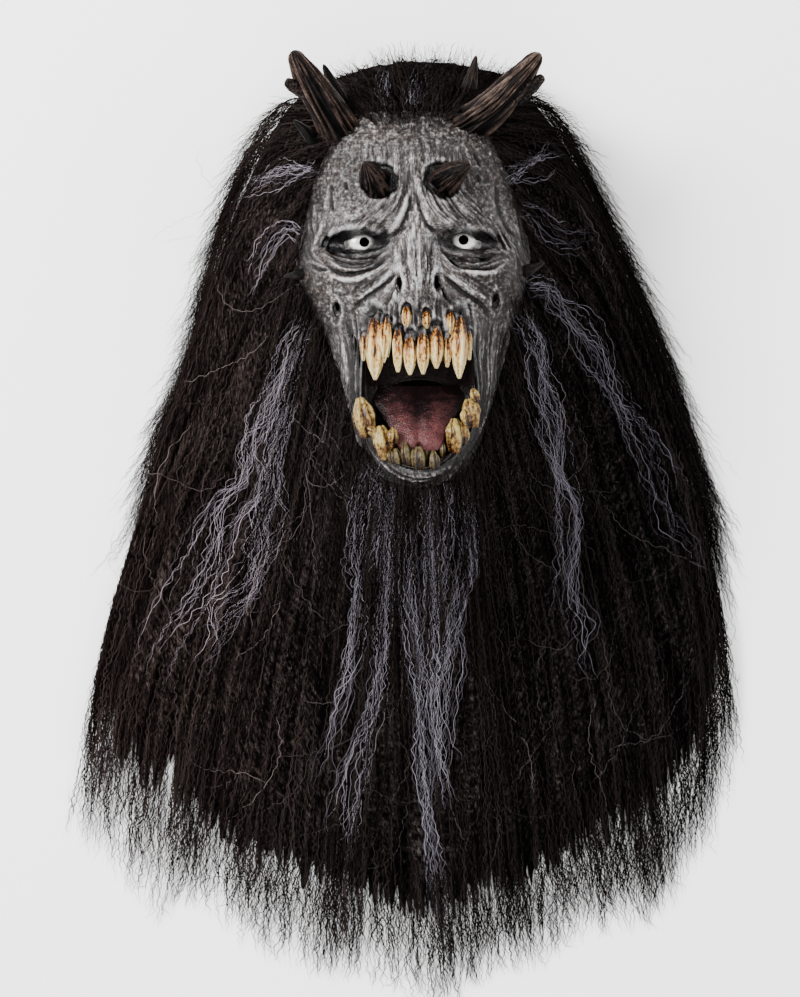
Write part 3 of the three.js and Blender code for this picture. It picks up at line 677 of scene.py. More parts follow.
@dataclass(frozen=True)
class HairMassFinish:
    """Packed crimped hair, drawn along the flow laid out in the mesh's own map."""

    crimp_length: float = 0.0070
    crimp_height: float = 0.0008
    strand: float = 0.00085
    deep: Colour = (0.0010, 0.0008, 0.0008)
    middle: Colour = (0.0048, 0.0040, 0.0038)
    light: Colour = (0.0240, 0.0200, 0.0187)
    pale: Colour = (0.0750, 0.0640, 0.0600)

    def _layer(self, p: Paint, flow: Wire, size: Place, wander: Wire) -> Wire:
        """One layer of strands, each place out of step with the next."""
        across, along = (p.add("ShaderNodeSeparateXYZ", {0: flow}, k) for k in (0, 1))
        tangle = p.centred(p.mapping(flow, size), 1.0, 2.0, 0.7)
        phase = along * (2 * math.pi / self.crimp_length) + wander * 30.0 + tangle * 20.0
        bent = across + phase.sine() * self.crimp_height + wander * 0.030 + tangle * 0.004
        vector = p.add("ShaderNodeCombineXYZ", {0: bent, 1: along})
        return p.noise(p.mapping(vector, (self.strand, 0.0055, 1.0)), 1.0, 2.0, 0.6)

    def build(self) -> Material:
        """Make the material."""
        p = Paint("hair")
        flow = p.add("ShaderNodeUVMap", uv_map="flow")
        wander = p.centred(p.mapping(flow, (0.013, 0.05, 1.0)), 1.0, 2.0)
        strands = p.math("MAXIMUM", self._layer(p, flow, (0.0019, 0.010, 1.0), wander),
                         self._layer(p, flow, (0.0026, 0.014, 1.0), wander))
        locks = p.centred(p.mapping(flow, (0.009, 0.10, 1.0)), 1.0, 3.0, 0.6)
        colour = p.ramp(strands + locks * 0.45, (0.47, self.deep), (0.56, self.middle),
                        (0.65, self.light), (0.76, self.pale))
        # painted light on the left side and painted shade on the right, with browner hair at the left
        return p.surface(p.browner(colour), 0.8, p.bump(strands + locks * 0.8, 0.0007),
                         Specular_IOR_Level=0.0)


@dataclass(frozen=True)
class StrandFinish:
    """Single strands, each with its own shade."""

    name: str
    dark: Colour
    light: Colour

    def build(self) -> Material:
        """Make the material from the shade stored for each strand."""
        p = Paint(self.name)
        colour = p.ramp(p.attribute("shade"), (0.0, self.dark), (1.0, self.light))
        # painted light on the left side and painted shade on the right, with browner hair at the left
        return p.surface(p.browner(colour), 0.6, Specular_IOR_Level=0.0)


DARK = StrandFinish("strand_dark", (0.0010, 0.0008, 0.0008), (0.030, 0.0245, 0.0225))
PALE = StrandFinish("strand_pale", (0.030, 0.026, 0.025), (0.22, 0.20, 0.20))
GREY = StrandFinish("strand_grey", (0.050, 0.046, 0.060), (0.40, 0.385, 0.45))


@dataclass(frozen=True)
class Station:
    """A cut across the head at height v over the eye line, in millimetres."""

    v: float
    half: float
    front: float
    back: float
    mid: float
    shift: float
    square: float


SKULL = (
    Station(113, 20, 124, 66, 95, 0, 2.0),
    Station(107, 40, 145, 46, 95, 0, 2.1),
    Station(97, 57, 164, 29, 96, 0, 2.2),
    Station(78, 72, 181, 15, 98, 0, 2.3),
    Station(50, 82, 192, 10.5, 100, 0, 2.35),
    Station(15, 86, 196, 10, 106, 0, 2.35),
    Station(-20, 90, 196, 10.5, 118, 1, 2.3),
    Station(-45, 79, 197, 13, 118, 3, 2.3),
    Station(-75, 66, 198, 17, 110, 5, 2.3),
    Station(-105, 63, 197, 21, 104, 6, 2.3),
    Station(-135, 58, 193, 22, 104, 5.5, 2.2),
    Station(-158, 52, 187, 21, 100, 5, 2.0),
    Station(-172, 49, 178, 20, 96, 4.5, 1.9),
    Station(-181, 48, 157, 18, 86, 4, 1.9),
    Station(-188, 49, 130, 17, 76, 4, 2.0),
    Station(-198, 51, 114, 16, 66, 3, 2.1),
    Station(-226, 57, 108, 14, 62, 2, 2.1),
)


@dataclass(frozen=True)
class Form:
    """Rounded swelling or hollow of the face, sx wide and sv tall."""

    x: float
    v: float
    sx: float
    sv: float
    rise: float
    pair: bool = False
    lean: float = 0.0


FACE_FORMS = (
    Form(30, 12, 15, 7, 9, True),
    Form(52, 13, 10, 7, 7, True),
    Form(35, -1, 15, 7.5, -17, True),
    Form(55, -2, 8, 6, -9, True),
    Form(40, -20, 17, 6, 5, True),
    Form(64, -30, 13, 11, 7, True),
    Form(55, -62, 10, 20, -9, True),
    Form(25, -42, 7, 9, 4, True),
    Form(66, 27, 10, 14, -7, True),
    Form(26, 42, 11, 11, -7, True),
    Form(48, 68, 13, 11, 6, True),
    Form(11, 20, 6, 13, 5, True),
    Form(1, 48, 9, 24, 5),
    Form(2, -9, 8, 13, 10),
    Form(3.5, -33, 8.5, 9, 21),
    Form(-8.5, -29, 5, 9, 8),
    Form(15.5, -29, 5, 9, 8),
    Form(4, -60, 38, 9, 5),
    Form(6, -169, 21, 7, 6),
    Form(24, -36, 5, 15, -6, True, -0.84),
    Form(20, 20, 5, 13, 4, True, -0.6),
)


class Skull:
    """The plain head and the modelling of the face, from the named cuts and forms."""

    def __init__(self) -> None:
        """Lay the cuts out as arrays."""
        names = ("v", "half", "front", "back", "mid", "shift", "square")
        self.keys = {key: np.array([getattr(cut, key) for cut in SKULL]) for key in names}

    def at(self, v: Number, key: str) -> Points:
        """One value of the skull at heights v, on a smooth curve through the cuts."""
        v, levels, values = np.asarray(v, float), self.keys["v"], self.keys[key]
        last = len(values) - 1
        high = np.clip(np.searchsorted(-levels, -v, side="left"), 1, last)
        low = high - 1
        order = np.arange(last + 1)
        before, after = np.maximum(order - 1, 0), np.minimum(order + 1, last)
        slope = (values[after] - values[before]) / (levels[after] - levels[before])
        span = levels[high] - levels[low]
        t = np.clip((v - levels[low]) / span, 0.0, 1.0)
        return glide(t, values[low], values[high], span * slope[low], span * slope[high])

    def form(self, x: Points, v: Points) -> Points:
        """How far the modelling stands out of the plain skull."""
        height = np.zeros(np.broadcast(x, v).shape)
        shift = self.at(v, "shift")
        for form in FACE_FORMS:
            across = (np.abs(x - shift) if form.pair else x) - form.x
            cos, sin = math.cos(form.lean), math.sin(form.lean)
            wide = (across * cos - (v - form.v) * sin) / form.sx
            tall = (across * sin + (v - form.v) * cos) / form.sv
            height = height + form.rise * np.exp(-(wide ** 2 + tall ** 2) / 2)
        return height

    def height(self, x: Number, v: Number) -> Points:
        """Height of the front of the face at x and v."""
        half, front, mid, shift, square = (self.at(v, key) for key in
                                           ("half", "front", "mid", "shift", "square"))
        across = np.minimum(np.abs(x - shift) / half, 1.0)
        return mid + (front - mid) * (1.0 - across ** square) ** (1.0 / square) + self.form(x, v)

    def rings(self, rows: Points, face: Points, nape: int, inset: float) -> Points:
        """Rings around the head.

        Args:
            rows: Heights v of the rings.
            face: Angles of the columns over the face, from 0 to pi.
            nape: Columns around the back.
            inset: How far inside the surface the rings lie.

        Returns:
            Array of rings, points around, three coordinates.
        """
        angle = np.concatenate([face, np.pi + np.pi * np.arange(nape) / nape])[None, :]
        on_face = (np.arange(angle.size) < len(face))[None, :]
        v = np.asarray(rows, float)[:, None]
        mid = self.at(v, "mid")
        power = 2.0 / np.where(on_face, self.at(v, "square"), 2.1)
        out = signed_power(np.sin(angle), power)
        x = self.at(v, "shift") - (self.at(v, "half") - inset) * signed_power(np.cos(angle), power)
        depth = np.where(on_face, self.at(v, "front") - mid, mid - self.at(v, "back")) - inset
        form = np.where(on_face, self.form(x, v) * np.clip(out / 0.35, 0, 1), 0.0)
        return in_row(x, v, mid + out * depth + form)


@dataclass(frozen=True)
class Fold:
    """A crease or a ridge along a line of pixel readings."""

    line: Sequence[Pixel]
    rise: float
    width: float


@dataclass(frozen=True)
class Fan:
    """Creases spread evenly between two lines of pixel readings."""

    first: Sequence[Pixel]
    last: Sequence[Pixel]
    count: int
    depth: float
    width: float


FOLDS = (
    Fold(((413, 186), (408, 213), (400, 230), (391, 236)), -2.3, 1.1),
    Fold(((413, 186), (419.5, 213), (427.6, 227), (438, 235)), -2.3, 1.1),
    Fold(((409, 190), (403, 210), (394, 228), (384, 233)), 1.3, 2.6),
    Fold(((421, 192), (432, 208), (444, 222), (456, 230)), 1.4, 2.8),
    Fold(((428, 178), (443, 203), (456, 222)), 1.2, 2.4),
    Fold(((324, 240), (334, 231), (352, 226), (374, 230), (388, 238)), 1.8, 2.4),
    Fold(((446, 236), (462, 229), (482, 228), (498, 234), (510, 248)), 1.8, 2.4),
    Fold(((398, 270), (389, 280), (374, 292), (360, 301), (350, 312)), -2.4, 1.4),
    Fold(((439, 271), (452, 283), (465, 294), (481, 303), (492, 315)), -2.4, 1.4),
    Fold(((394, 272), (380, 284), (366, 294), (352, 303)), 1.6, 2.6),
    Fold(((443, 272), (458, 281), (474, 291), (490, 299)), 1.6, 2.6),
    Fold(((400, 272), (396, 282), (392, 292), (385, 305)), -1.6, 1.2),
    Fold(((437, 273), (441, 284), (446, 294), (454, 307)), -1.6, 1.2),
    Fold(((321, 257), (336, 272), (347.5, 275), (359, 273), (377, 265), (387, 254)), -3.6, 1.5),
    Fold(((445, 251.5), (452, 259.5), (464, 266.4), (478, 268), (492, 267.6), (503, 261)), -3.6, 1.5),
    Fold(((330, 275), (346, 279.5), (362, 278), (376, 271)), 1.8, 1.8),
    Fold(((462, 271), (477, 272.5), (492, 272), (502, 267)), 1.8, 1.8),
    Fold(((328.5, 234), (321, 244.6)), -3.0, 1.3),
    Fold(((334, 234), (327, 246)), -2.2, 1.0),
    Fold(((497.7, 232), (507, 247)), -3.2, 1.3),
    Fold(((503, 231), (513, 246)), -2.0, 1.0),
    Fold(((331, 180), (330, 196), (332, 209)), -2.6, 0.9),
    Fold(((344, 181), (347, 188)), -2.2, 1.0),
    Fold(((475, 152), (482, 166)), -2.4, 1.0),
    Fold(((478, 173), (481, 181)), -2.2, 1.0),
    Fold(((497, 178), (500, 205), (508, 225), (520, 236)), -1.8, 1.4),
    Fold(((309, 262), (318, 268), (330, 268)), -1.8, 1.2),
    Fold(((407, 228), (399, 233), (391, 237)), -2.0, 1.0),
    Fold(((418, 308), (417, 322), (419, 332)), -2.0, 1.2),
)

FANS = (
    Fan(((410, 197), (404, 217), (398, 240)), ((417, 197), (424, 218), (432, 238)), 6, 1.5, 0.8),
    Fan(((395, 240), (398, 255), (402, 272), (408, 303)),
        ((437, 239), (436, 255), (434, 272), (429, 303)), 12, 1.9, 0.8),
    Fan(((409, 165), (409, 190), (401, 214), (388, 232)),
        ((394, 158), (392, 180), (380, 205), (366, 222)), 7, 1.6, 0.85),
    Fan(((419, 165), (421, 190), (434, 214), (452, 229)),
        ((436, 172), (452, 196), (464, 212), (476, 226)), 7, 1.6, 0.85),
    Fan(((366, 206), (355, 218), (343, 227)), ((384, 218), (374, 228), (362, 232)), 5, 1.3, 0.8),
    Fan(((455, 205), (468, 216), (480, 228)), ((478, 195), (490, 208), (500, 222)), 5, 1.3, 0.8),
    Fan(((322, 246), (345, 254), (366, 255), (388, 248)),
        ((321, 256), (340, 271), (360, 272), (384, 257)), 5, 1.9, 0.8),
    Fan(((442, 250), (462, 254), (482, 254), (504, 246)),
        ((447, 254), (464, 265), (482, 266), (503, 258)), 5, 1.9, 0.8),
    Fan(((366, 300), (366, 318), (364, 345)), ((472, 300), (474, 318), (477, 345)), 19, 1.7, 0.9),
    Fan(((340, 312), (344, 350), (347, 390), (354, 430), (372, 468)),
        ((361, 306), (361, 335), (358, 370), (357, 400), (364, 432)), 8, 2.7, 1.0),
    Fan(((478, 308), (478, 345), (481, 385), (479, 415), (466, 448)),
        ((512, 318), (508, 350), (503, 390), (492, 430), (470, 468)), 9, 2.7, 1.0),
    Fan(((372, 446), (388, 468), (415, 480), (440, 474), (462, 450)),
        ((352, 440), (376, 480), (418, 500), (458, 482), (484, 440)), 7, 2.4, 1.0),
    Fan(((392, 278), (376, 293), (360, 306)), ((372, 268), (356, 284), (340, 300)), 6, 0.9, 0.7),
    Fan(((445, 280), (460, 293), (478, 304)), ((462, 270), (482, 284), (505, 298)), 6, 0.9, 0.7),
    Fan(((300, 196), (303, 225), (308, 252)), ((316, 190), (317, 215), (316, 238)), 4, 1.2, 0.9),
    Fan(((512, 192), (520, 220), (526, 250)), ((526, 200), (532, 225), (536, 248)), 3, 1.2, 0.9),
)


@dataclass(frozen=True)
class Tooth:
    """A tooth from its root to its tip on the face, in millimetres."""

    x: float
    root: float
    tip: float
    width: float
    canine: bool = False
    high: bool = False


UPPER_TEETH = (
    Tooth(-34.8, -66, -84, 3.8),
    Tooth(-26.5, -57, -98, 11.4, canine=True),
    Tooth(-18, -56, -82, 5),
    Tooth(-10.6, -64, -92.5, 6.6),
    Tooth(-2, -69, -94.5, 7.8),
    Tooth(7.2, -66, -94, 7),
    Tooth(16.4, -63, -90, 8),
    Tooth(24, -68, -89, 5.2),
    Tooth(32.4, -56, -97, 9.8, canine=True),
    Tooth(39.6, -64, -83.5, 3.4),
    Tooth(-4.5, -49, -61.5, 5.4, high=True),
    Tooth(9.3, -52, -62, 4.6, high=True),
    Tooth(26.2, -52, -66, 4.4, high=True),
)


@dataclass(frozen=True)
class JawTooth:
    """A lower tooth from its root to its tip, set back from the rim by depth."""

    root: tuple[float, float]
    tip: tuple[float, float]
    width: float
    depth: float
    lift: float = 0.0


LOWER_TEETH = (
    JawTooth((-32, -137), (-37.5, -111.5), 11.5, -7, 1.0),
    JawTooth((-18.5, -152), (-23, -131), 11.5, 0, 0.5),
    JawTooth((-10.2, -158.5), (-12.2, -146.5), 5.8, 0),
    JawTooth((-3.2, -159), (-5.5, -142), 6.6, 1),
    JawTooth((-5.5, -150), (-8.5, -136), 5.6, 9),
    JawTooth((4.4, -162), (3.6, -145.5), 7.2, 0),
    JawTooth((11.4, -154), (11.6, -142), 6.6, 9),
    JawTooth((15, -162.5), (14.4, -148.5), 6.2, 0),
    JawTooth((20.6, -153), (20.6, -141), 4.2, 7),
    JawTooth((30, -148), (29.5, -126), 10.6, 0),
    JawTooth((38, -143), (36.6, -132), 4.6, 2),
    JawTooth((41.8, -130), (39.0, -112), 9.8, -4, 1.0),
    JawTooth((44.5, -114), (42.0, -104.5), 5.4, -4, 1.0),
)

LOBES = {
    "fang_upper_2": (((-21.3, -60), (-20.6, -86), 7.0),),
    "fang_upper_9": (((30.0, -66), (28.8, -85), 6.2),),
    "fang_lower_1": (((-35.5, -124), (-28.5, -126.5), 5.0), ((-33.5, -131), (-26.0, -134), 5.6),
                     ((-38.6, -131), (-39.3, -114), 5.0)),
    "fang_lower_2": (((-25.5, -140), (-26.8, -131), 7.0), ((-14.5, -143), (-14.0, -132), 6.4)),
    "fang_lower_3": (((-14.0, -157), (-16.8, -147), 4.6),),
    "fang_lower_6": (((1.2, -158), (0.6, -147), 4.4),),
    "fang_lower_10": (((35.0, -142), (34.4, -128), 7.0), ((26.2, -141), (26.0, -129), 5.6)),
    "fang_lower_12": (((38.0, -128), (36.4, -119), 7.0), ((43.8, -124), (43.4, -113), 6.2)),
}

MOUTH_RIM = (
    (-34, -75), (-16, -72), (1, -71), (19, -71), (40, -72), (45, -88), (47.5, -108), (46, -126),
    (38.5, -144), (26, -156), (8.5, -162), (-9, -159.5), (-23, -150.5), (-34, -136.5),
    (-39, -119), (-38.5, -98),
)
MOUTH_CENTRE = (4.5, -108.0)
SLOT = (4.5, -101.5, 17.5, 5.0)
EYE_OPENINGS = ((-35.8, -0.5, 9.4, 5.4), (35.6, 0.4, 9.3, 5.4))
EYE_CENTRES = ((-36.5, -0.7), (36.5, 0.0))
EYE_HOLES = ((-34.3, -0.3), (35.7, 1.2))
EYE_SURROUNDS = ((-39.5, -0.5, 27.0, 10.4), (40.0, 0.0, 25.0, 10.4))
EYE_BAGS = ((-38.0, -12.0, 23.0, 8.0), (41.0, -11.0, 22.0, 8.0))
HORN_SOCKETS = ((-24.0, 42.0, 10.6), (20.5, 42.5, 10.8))
PITS = ((-10.6, -31.5, 2.6, 7), (17.5, -30, 2.6, 7), (-54, -49, 2.8, 6.2), (58.5, -43, 2.8, 6.2))
TINTS = (
    (-74, -28, 22, 22, 1.0), (76, -30, 16, 16, 0.9), (-20, 78, 30, 16, 0.6),
    (35, 75, 30, 14, 0.5), (-60, 55, 14, 22, 0.7), (60, 45, 16, 22, 0.6), (2, -62, 42, 10, 0.7),
    (-40, -20, 20, 9, 0.6), (42, -20, 20, 9, 0.5), (20, 20, 14, 14, 0.4), (-60, -10, 12, 10, 0.8),
    (3, -165, 30, 8, 0.5),
)
# Patches laid over the dry paint: painted highlights where light falls on the brows, nose, cheeks,
# forehead and chin, and painted shade over the upper lip, the left temple, the groove beside the left
# jaw and round the horn sockets.
PAINTED_LIGHT_AND_SHADE = (
    (2, -18, 17, 34, 0.19), (2, -40, 11, 9, 0.07), (3, -50, 34, 12, -0.10),
    (-40, 16, 24, 11, 0.15), (38, 20, 24, 11, 0.11), (40, -6, 24, 10, 0.10),
    (-56, 34, 14, 22, -0.07), (-46, -88, 14, 34, -0.09), (-48, -32, 24, 10, 0.10),
    (44, -30, 20, 9, 0.03), (-28, 60, 22, 16, 0.04), (0, 84, 36, 9, 0.05), (0, -174, 40, 12, 0.07),
    (-24, 42, 15, 15, -0.12), (21, 42, 15, 15, -0.12),
)


class FaceRelief:
    """Wrinkles, folds and paint of the face on a fine raster seen from the front."""

    PITCH = 0.6
    LOW = (-104.0, -186.0)
    HIGH = (104.0, 118.0)
    LINE_STEP = 1.6
    FAN_WANDER = 0.8

    def __init__(self) -> None:
        """Draw everything onto the raster."""
        sides = (low + self.PITCH * np.arange(int((high - low) / self.PITCH) + 1)
                 for low, high in zip(self.LOW, self.HIGH))
        self.x, self.v = np.meshgrid(*sides)
        self.random = np.random.default_rng(SEED)
        self.lines = self._all_lines()
        self.flow = self._flow_field()
        self.lumpy = self._lumpy()
        self.height = self._height()
        self.black_paint_and_shade = self._soot()
        self.earth = np.full(self.x.shape, 0.32)
        for patch in TINTS:
            self.earth = np.maximum(self.earth, self._patch(*patch))
        self.ridge = self._ridge()

    def _all_lines(self) -> list[tuple[Points, float, float]]:
        """Every crease and ridge as line, rise and width."""
        uniform, normal = self.random.uniform, self.random.normal
        lines = [(spline(face_line(f.line), shares(9)), f.rise, f.width) for f in FOLDS]
        for fan in FANS:
            first, last = (spline(face_line(side), shares(13)) for side in (fan.first, fan.last))
            for i in range(fan.count):
                share = (i + 0.5 + uniform(-0.3, 0.3)) / fan.count
                drift = normal(0, self.FAN_WANDER, (5, 2))
                line = first + (last - first) * share + spline(drift, shares(13)) * 0.6
                start, end = uniform(0, 0.22), uniform(0.78, 1.0)
                line = spline(line, np.linspace(start, end, 10))
                depth = fan.depth * uniform(0.55, 1.25)
                lines.append((line, -depth, fan.width * uniform(0.8, 1.25)))
        return lines

    def _distance(self, line: Points, reach: float) -> tuple[tuple, Points, Points]:
        """Part of the raster within reach of a line, the distance to it and the share along."""
        low = ((line.min(axis=0) - reach - self.LOW) / self.PITCH).astype(int)
        high = ((line.max(axis=0) + reach - self.LOW) / self.PITCH).astype(int) + 2
        part = tuple(slice(max(low[k], 0), max(high[k], 0)) for k in (1, 0))
        x, v = self.x[part], self.v[part]
        best, along = np.full(x.shape, 1e9), np.zeros(x.shape)
        for i, (a, b) in enumerate(zip(line, line[1:])):
            d = b - a
            t = np.clip(((x - a[0]) * d[0] + (v - a[1]) * d[1]) / (d @ d + 1e-9), 0, 1)
            gap = np.hypot(x - a[0] - d[0] * t, v - a[1] - d[1] * t)
            along = np.where(gap < best, (i + t) / (len(line) - 1), along)
            best = np.minimum(best, gap)
        return part, best, along

    def _flow_field(self) -> Points:
        """Direction of the wrinkles as cosine and sine of twice its angle."""
        flow = np.stack([np.full(self.x.shape, -0.35), np.zeros(self.x.shape)])
        for line, rise, _ in self.lines:
            for a, b in zip(line[:-1:2], line[1::2]):
                angle = 2 * math.atan2(*(b - a)[::-1])
                middle = (a + b) / 2
                near = np.exp(-((self.x - middle[0]) ** 2 + (self.v - middle[1]) ** 2) / 50.0)
                flow[0] += near * abs(rise) * math.cos(angle)
                flow[1] += near * abs(rise) * math.sin(angle)
        return flow / (np.hypot(*flow) + 1e-6)

    def sample(self, image: Points, x: Points, v: Points) -> Points:
        """Value of a raster image at any places."""
        column = np.clip((x - self.LOW[0]) / self.PITCH, 0, image.shape[1] - 1.001)
        row = np.clip((v - self.LOW[1]) / self.PITCH, 0, image.shape[0] - 1.001)
        i, j = row.astype(int), column.astype(int)
        a, b = row - i, column - j
        return ((image[i, j] * (1 - b) + image[i, j + 1] * b) * (1 - a)
                + (image[i + 1, j] * (1 - b) + image[i + 1, j + 1] * b) * a)

    def bearing(self, x: Points, v: Points) -> Points:
        """Angle of the wrinkles at any places."""
        return 0.5 * np.arctan2(self.sample(self.flow[1], x, v), self.sample(self.flow[0], x, v))

    def _noise(self, scale: float, seed: int) -> Points:
        """Noise with cells of the given size."""
        return noise2(self.x / scale, self.v / scale, seed)

    def _streaks(self, scale: float, length: float, seed: int) -> Points:
        """Noise drawn out along the flow, with a spread of about one."""
        source = self._noise(scale, seed) + 0.5 * self._noise(scale / 2.1, seed + 7)
        total = source.copy()
        step = self.PITCH * self.LINE_STEP
        for direction in (1.0, -1.0):
            x, v, was = self.x, self.v, None
            for _ in range(int(length / step)):
                angle = self.bearing(x, v)
                move = np.stack([np.cos(angle), np.sin(angle)])
                turned = direction if was is None else np.sign((move * was).sum(axis=0))
                was = move = move * np.where(turned == 0, 1.0, turned)
                x, v = x + move[0] * step, v + move[1] * step
                total += self.sample(source, x, v)
        total -= total.mean()
        return total / total.std()

    def _relief_over(self, size: float) -> Points:
        """How far the relief stands over its own mean over about size millimetres."""
        half = max(1, int(size / self.PITCH))
        count = 2 * half + 1
        image = self.height
        for _ in range(4):
            run = np.cumsum(np.pad(image, ((half + 1, half), (0, 0)), mode="edge"), axis=0)
            image = ((run[count:] - run[:-count]) / count).T
        return self.height - image

    def _around(self, x: float, v: float, wide: float, tall: float) -> Points:
        """Distance from a centre as a share of an ellipse."""
        return np.hypot((self.x - x) / wide, (self.v - v) / tall)

    def _patch(self, x: float, v: float, wide: float, tall: float, amount: float) -> Points:
        """Soft patch round a centre."""
        return amount * np.exp(-(self._around(x, v, wide, tall) ** 2))

    def _lumpy(self) -> Points:
        """How granular the place is, where it is not wrinkled."""
        v, aside = self.v, np.abs(self.x - 3)
        cheek = smoothstep(-14, -24, v) * smoothstep(-64, -50, v) * smoothstep(24, 36, aside)
        temple = smoothstep(9, 16, v) * smoothstep(32, 44, aside)
        return np.maximum.reduce([smoothstep(58, 76, v), 0.85 * cheek, 0.8 * temple,
                                  0.9 * smoothstep(-152, -162, v)])

    def _height(self) -> Points:
        """Height of the fine relief in millimetres."""
        crease, ridge = np.zeros(self.x.shape), np.zeros(self.x.shape)
        for line, rise, width in self.lines:
            part, gap, along = self._distance(line, width * 3)
            taper = np.clip(np.sin(np.pi * np.clip(along, 0.04, 0.96)) * 1.6, 0, 1)
            value = rise * taper * np.exp(-((gap / width) ** 2))
            crease[part] = np.minimum(crease[part], value)
            ridge[part] = np.maximum(ridge[part], value)
        wrinkle = 0.5 * np.abs(self._streaks(2.2, 9.0, 3)) ** 0.75
        wrinkle = (1 - 0.8 * self.lumpy) * (wrinkle + 0.2 * self._streaks(1.3, 6.0, 11))
        grain = self._noise(1.3, 5)
        lumps = 1.3 * np.abs(self._noise(2.5, 9)) ** 0.6 + 0.4 * grain
        height = crease + ridge + wrinkle + self.lumpy * lumps + 0.15 * grain
        rings = [((x, v, size, size), ((-1.2, 1.02, 0.14), (0.7, 1.35, 0.25)))
                 for x, v, size in HORN_SOCKETS]
        rings += [((t.x, t.root - 1.0, t.width * 0.72, t.width * 0.95),
                   ((0.9, 1.3, 0.3), (-1.4, 0.85, 0.2))) for t in UPPER_TEETH]
        rings += [(pit, ((0.7, 1.45, 0.3),)) for pit in PITS]
        uneven = 0.16 * self._noise(4, 27)
        for ellipse, edges in rings:
            away = self._around(*ellipse) + uneven
            for rise, share, width in edges:
                height = height + rise * np.exp(-(((away - share) / width) ** 2))
        return height

    def _soot(self) -> Points:
        """How far the place is painted glossy black: black paint round the eyes with painted shade
        under the brows, darker under the eyes, black at the roots of the upper teeth and along the
        rim of the mouth, and painted shade round the horn sockets.
        """
        near, far = 0.12 * self._noise(5, 21), 0.15 * self._noise(5, 23)
        # black paint round the eyes, with painted shade under the overhanging brows
        spots = [(place, near, 0.8 if place[0] > 0 else 1.0, 1.04, 0.80)
                 for place in EYE_SURROUNDS]
        spots += [(place, 0.0, 0.35 if place[0] > 0 else 0.55, 1.15, 0.6) for place in EYE_BAGS]
        # painted shade round the bases of the horns
        spots += [((x, v, size, size), far, 0.8, 1.5, 0.95) for x, v, size in HORN_SOCKETS]
        spots += [((t.x, t.root - 2.0, t.width * 0.75, t.width * 1.1), 0.0, 0.7, 1.7, 0.9)
                  for t in UPPER_TEETH]
        black_paint_and_shade = np.zeros(self.x.shape)
        for ellipse, uneven, amount, outer, inner in spots:
            away = self._around(*ellipse) + uneven
            black_paint_and_shade = np.maximum(black_paint_and_shade, amount * smoothstep(outer, inner, away))
        rim = closed_spline(MOUTH_RIM, 90)
        part, gap, _ = self._distance(np.vstack([rim, rim[:1]]), 8.0)
        black_paint_and_shade[part] = np.maximum(black_paint_and_shade[part], 0.85 * smoothstep(3.2, 0.6, gap))
        return black_paint_and_shade

    def _ridge(self) -> Points:
        """How much dry light paint the place has caught, from 0 to 1, with painted light and shade
        over it: broad hollows darker as painted shade, patches of painted highlight and shade, darker
        toward the outer sides, painted shade over the right side and darker toward the chin.
        """
        tone = 0.49 + 0.42 * np.tanh(0.75 * self._relief_over(3.0)) + 0.07 * self._noise(14, 31)
        # broad swellings lighter and broad hollows darker: painted light and painted shade
        tone = tone + 0.10 * np.clip(self._relief_over(8.0), -1.6, 1.6)
        # lay the patches of painted highlight and painted shade over the tone
        for patch in PAINTED_LIGHT_AND_SHADE:
            tone = tone + self._patch(*patch)
        tone = tone - 0.20 * smoothstep(56, 84, np.abs(self.x + self.v * 0.03))
        # painted shade over the right side of the face, the side away from the key light
        tone = tone - 0.08 * smoothstep(10, 60, self.x) - 0.05 * self.lumpy
        return np.clip(tone - 0.15 * smoothstep(-70, -120, self.v), 0.0, 1.0)


@dataclass(frozen=True)
class HeadSize:
    """Grid and wall of the latex casting, in millimetres."""

    wall: float = 3.2
    row_pitch: float = 0.92
    face_columns: int = 234
    side_columns: int = 14
    nape_columns: int = 26
    crown_tip: float = 115.0
    neck_rim: float = -225.0
    pocket_cuts: tuple = ((150.0, 0.66), (164.0, 0.86), (182.0, 0.97), (198.0, 1.0))


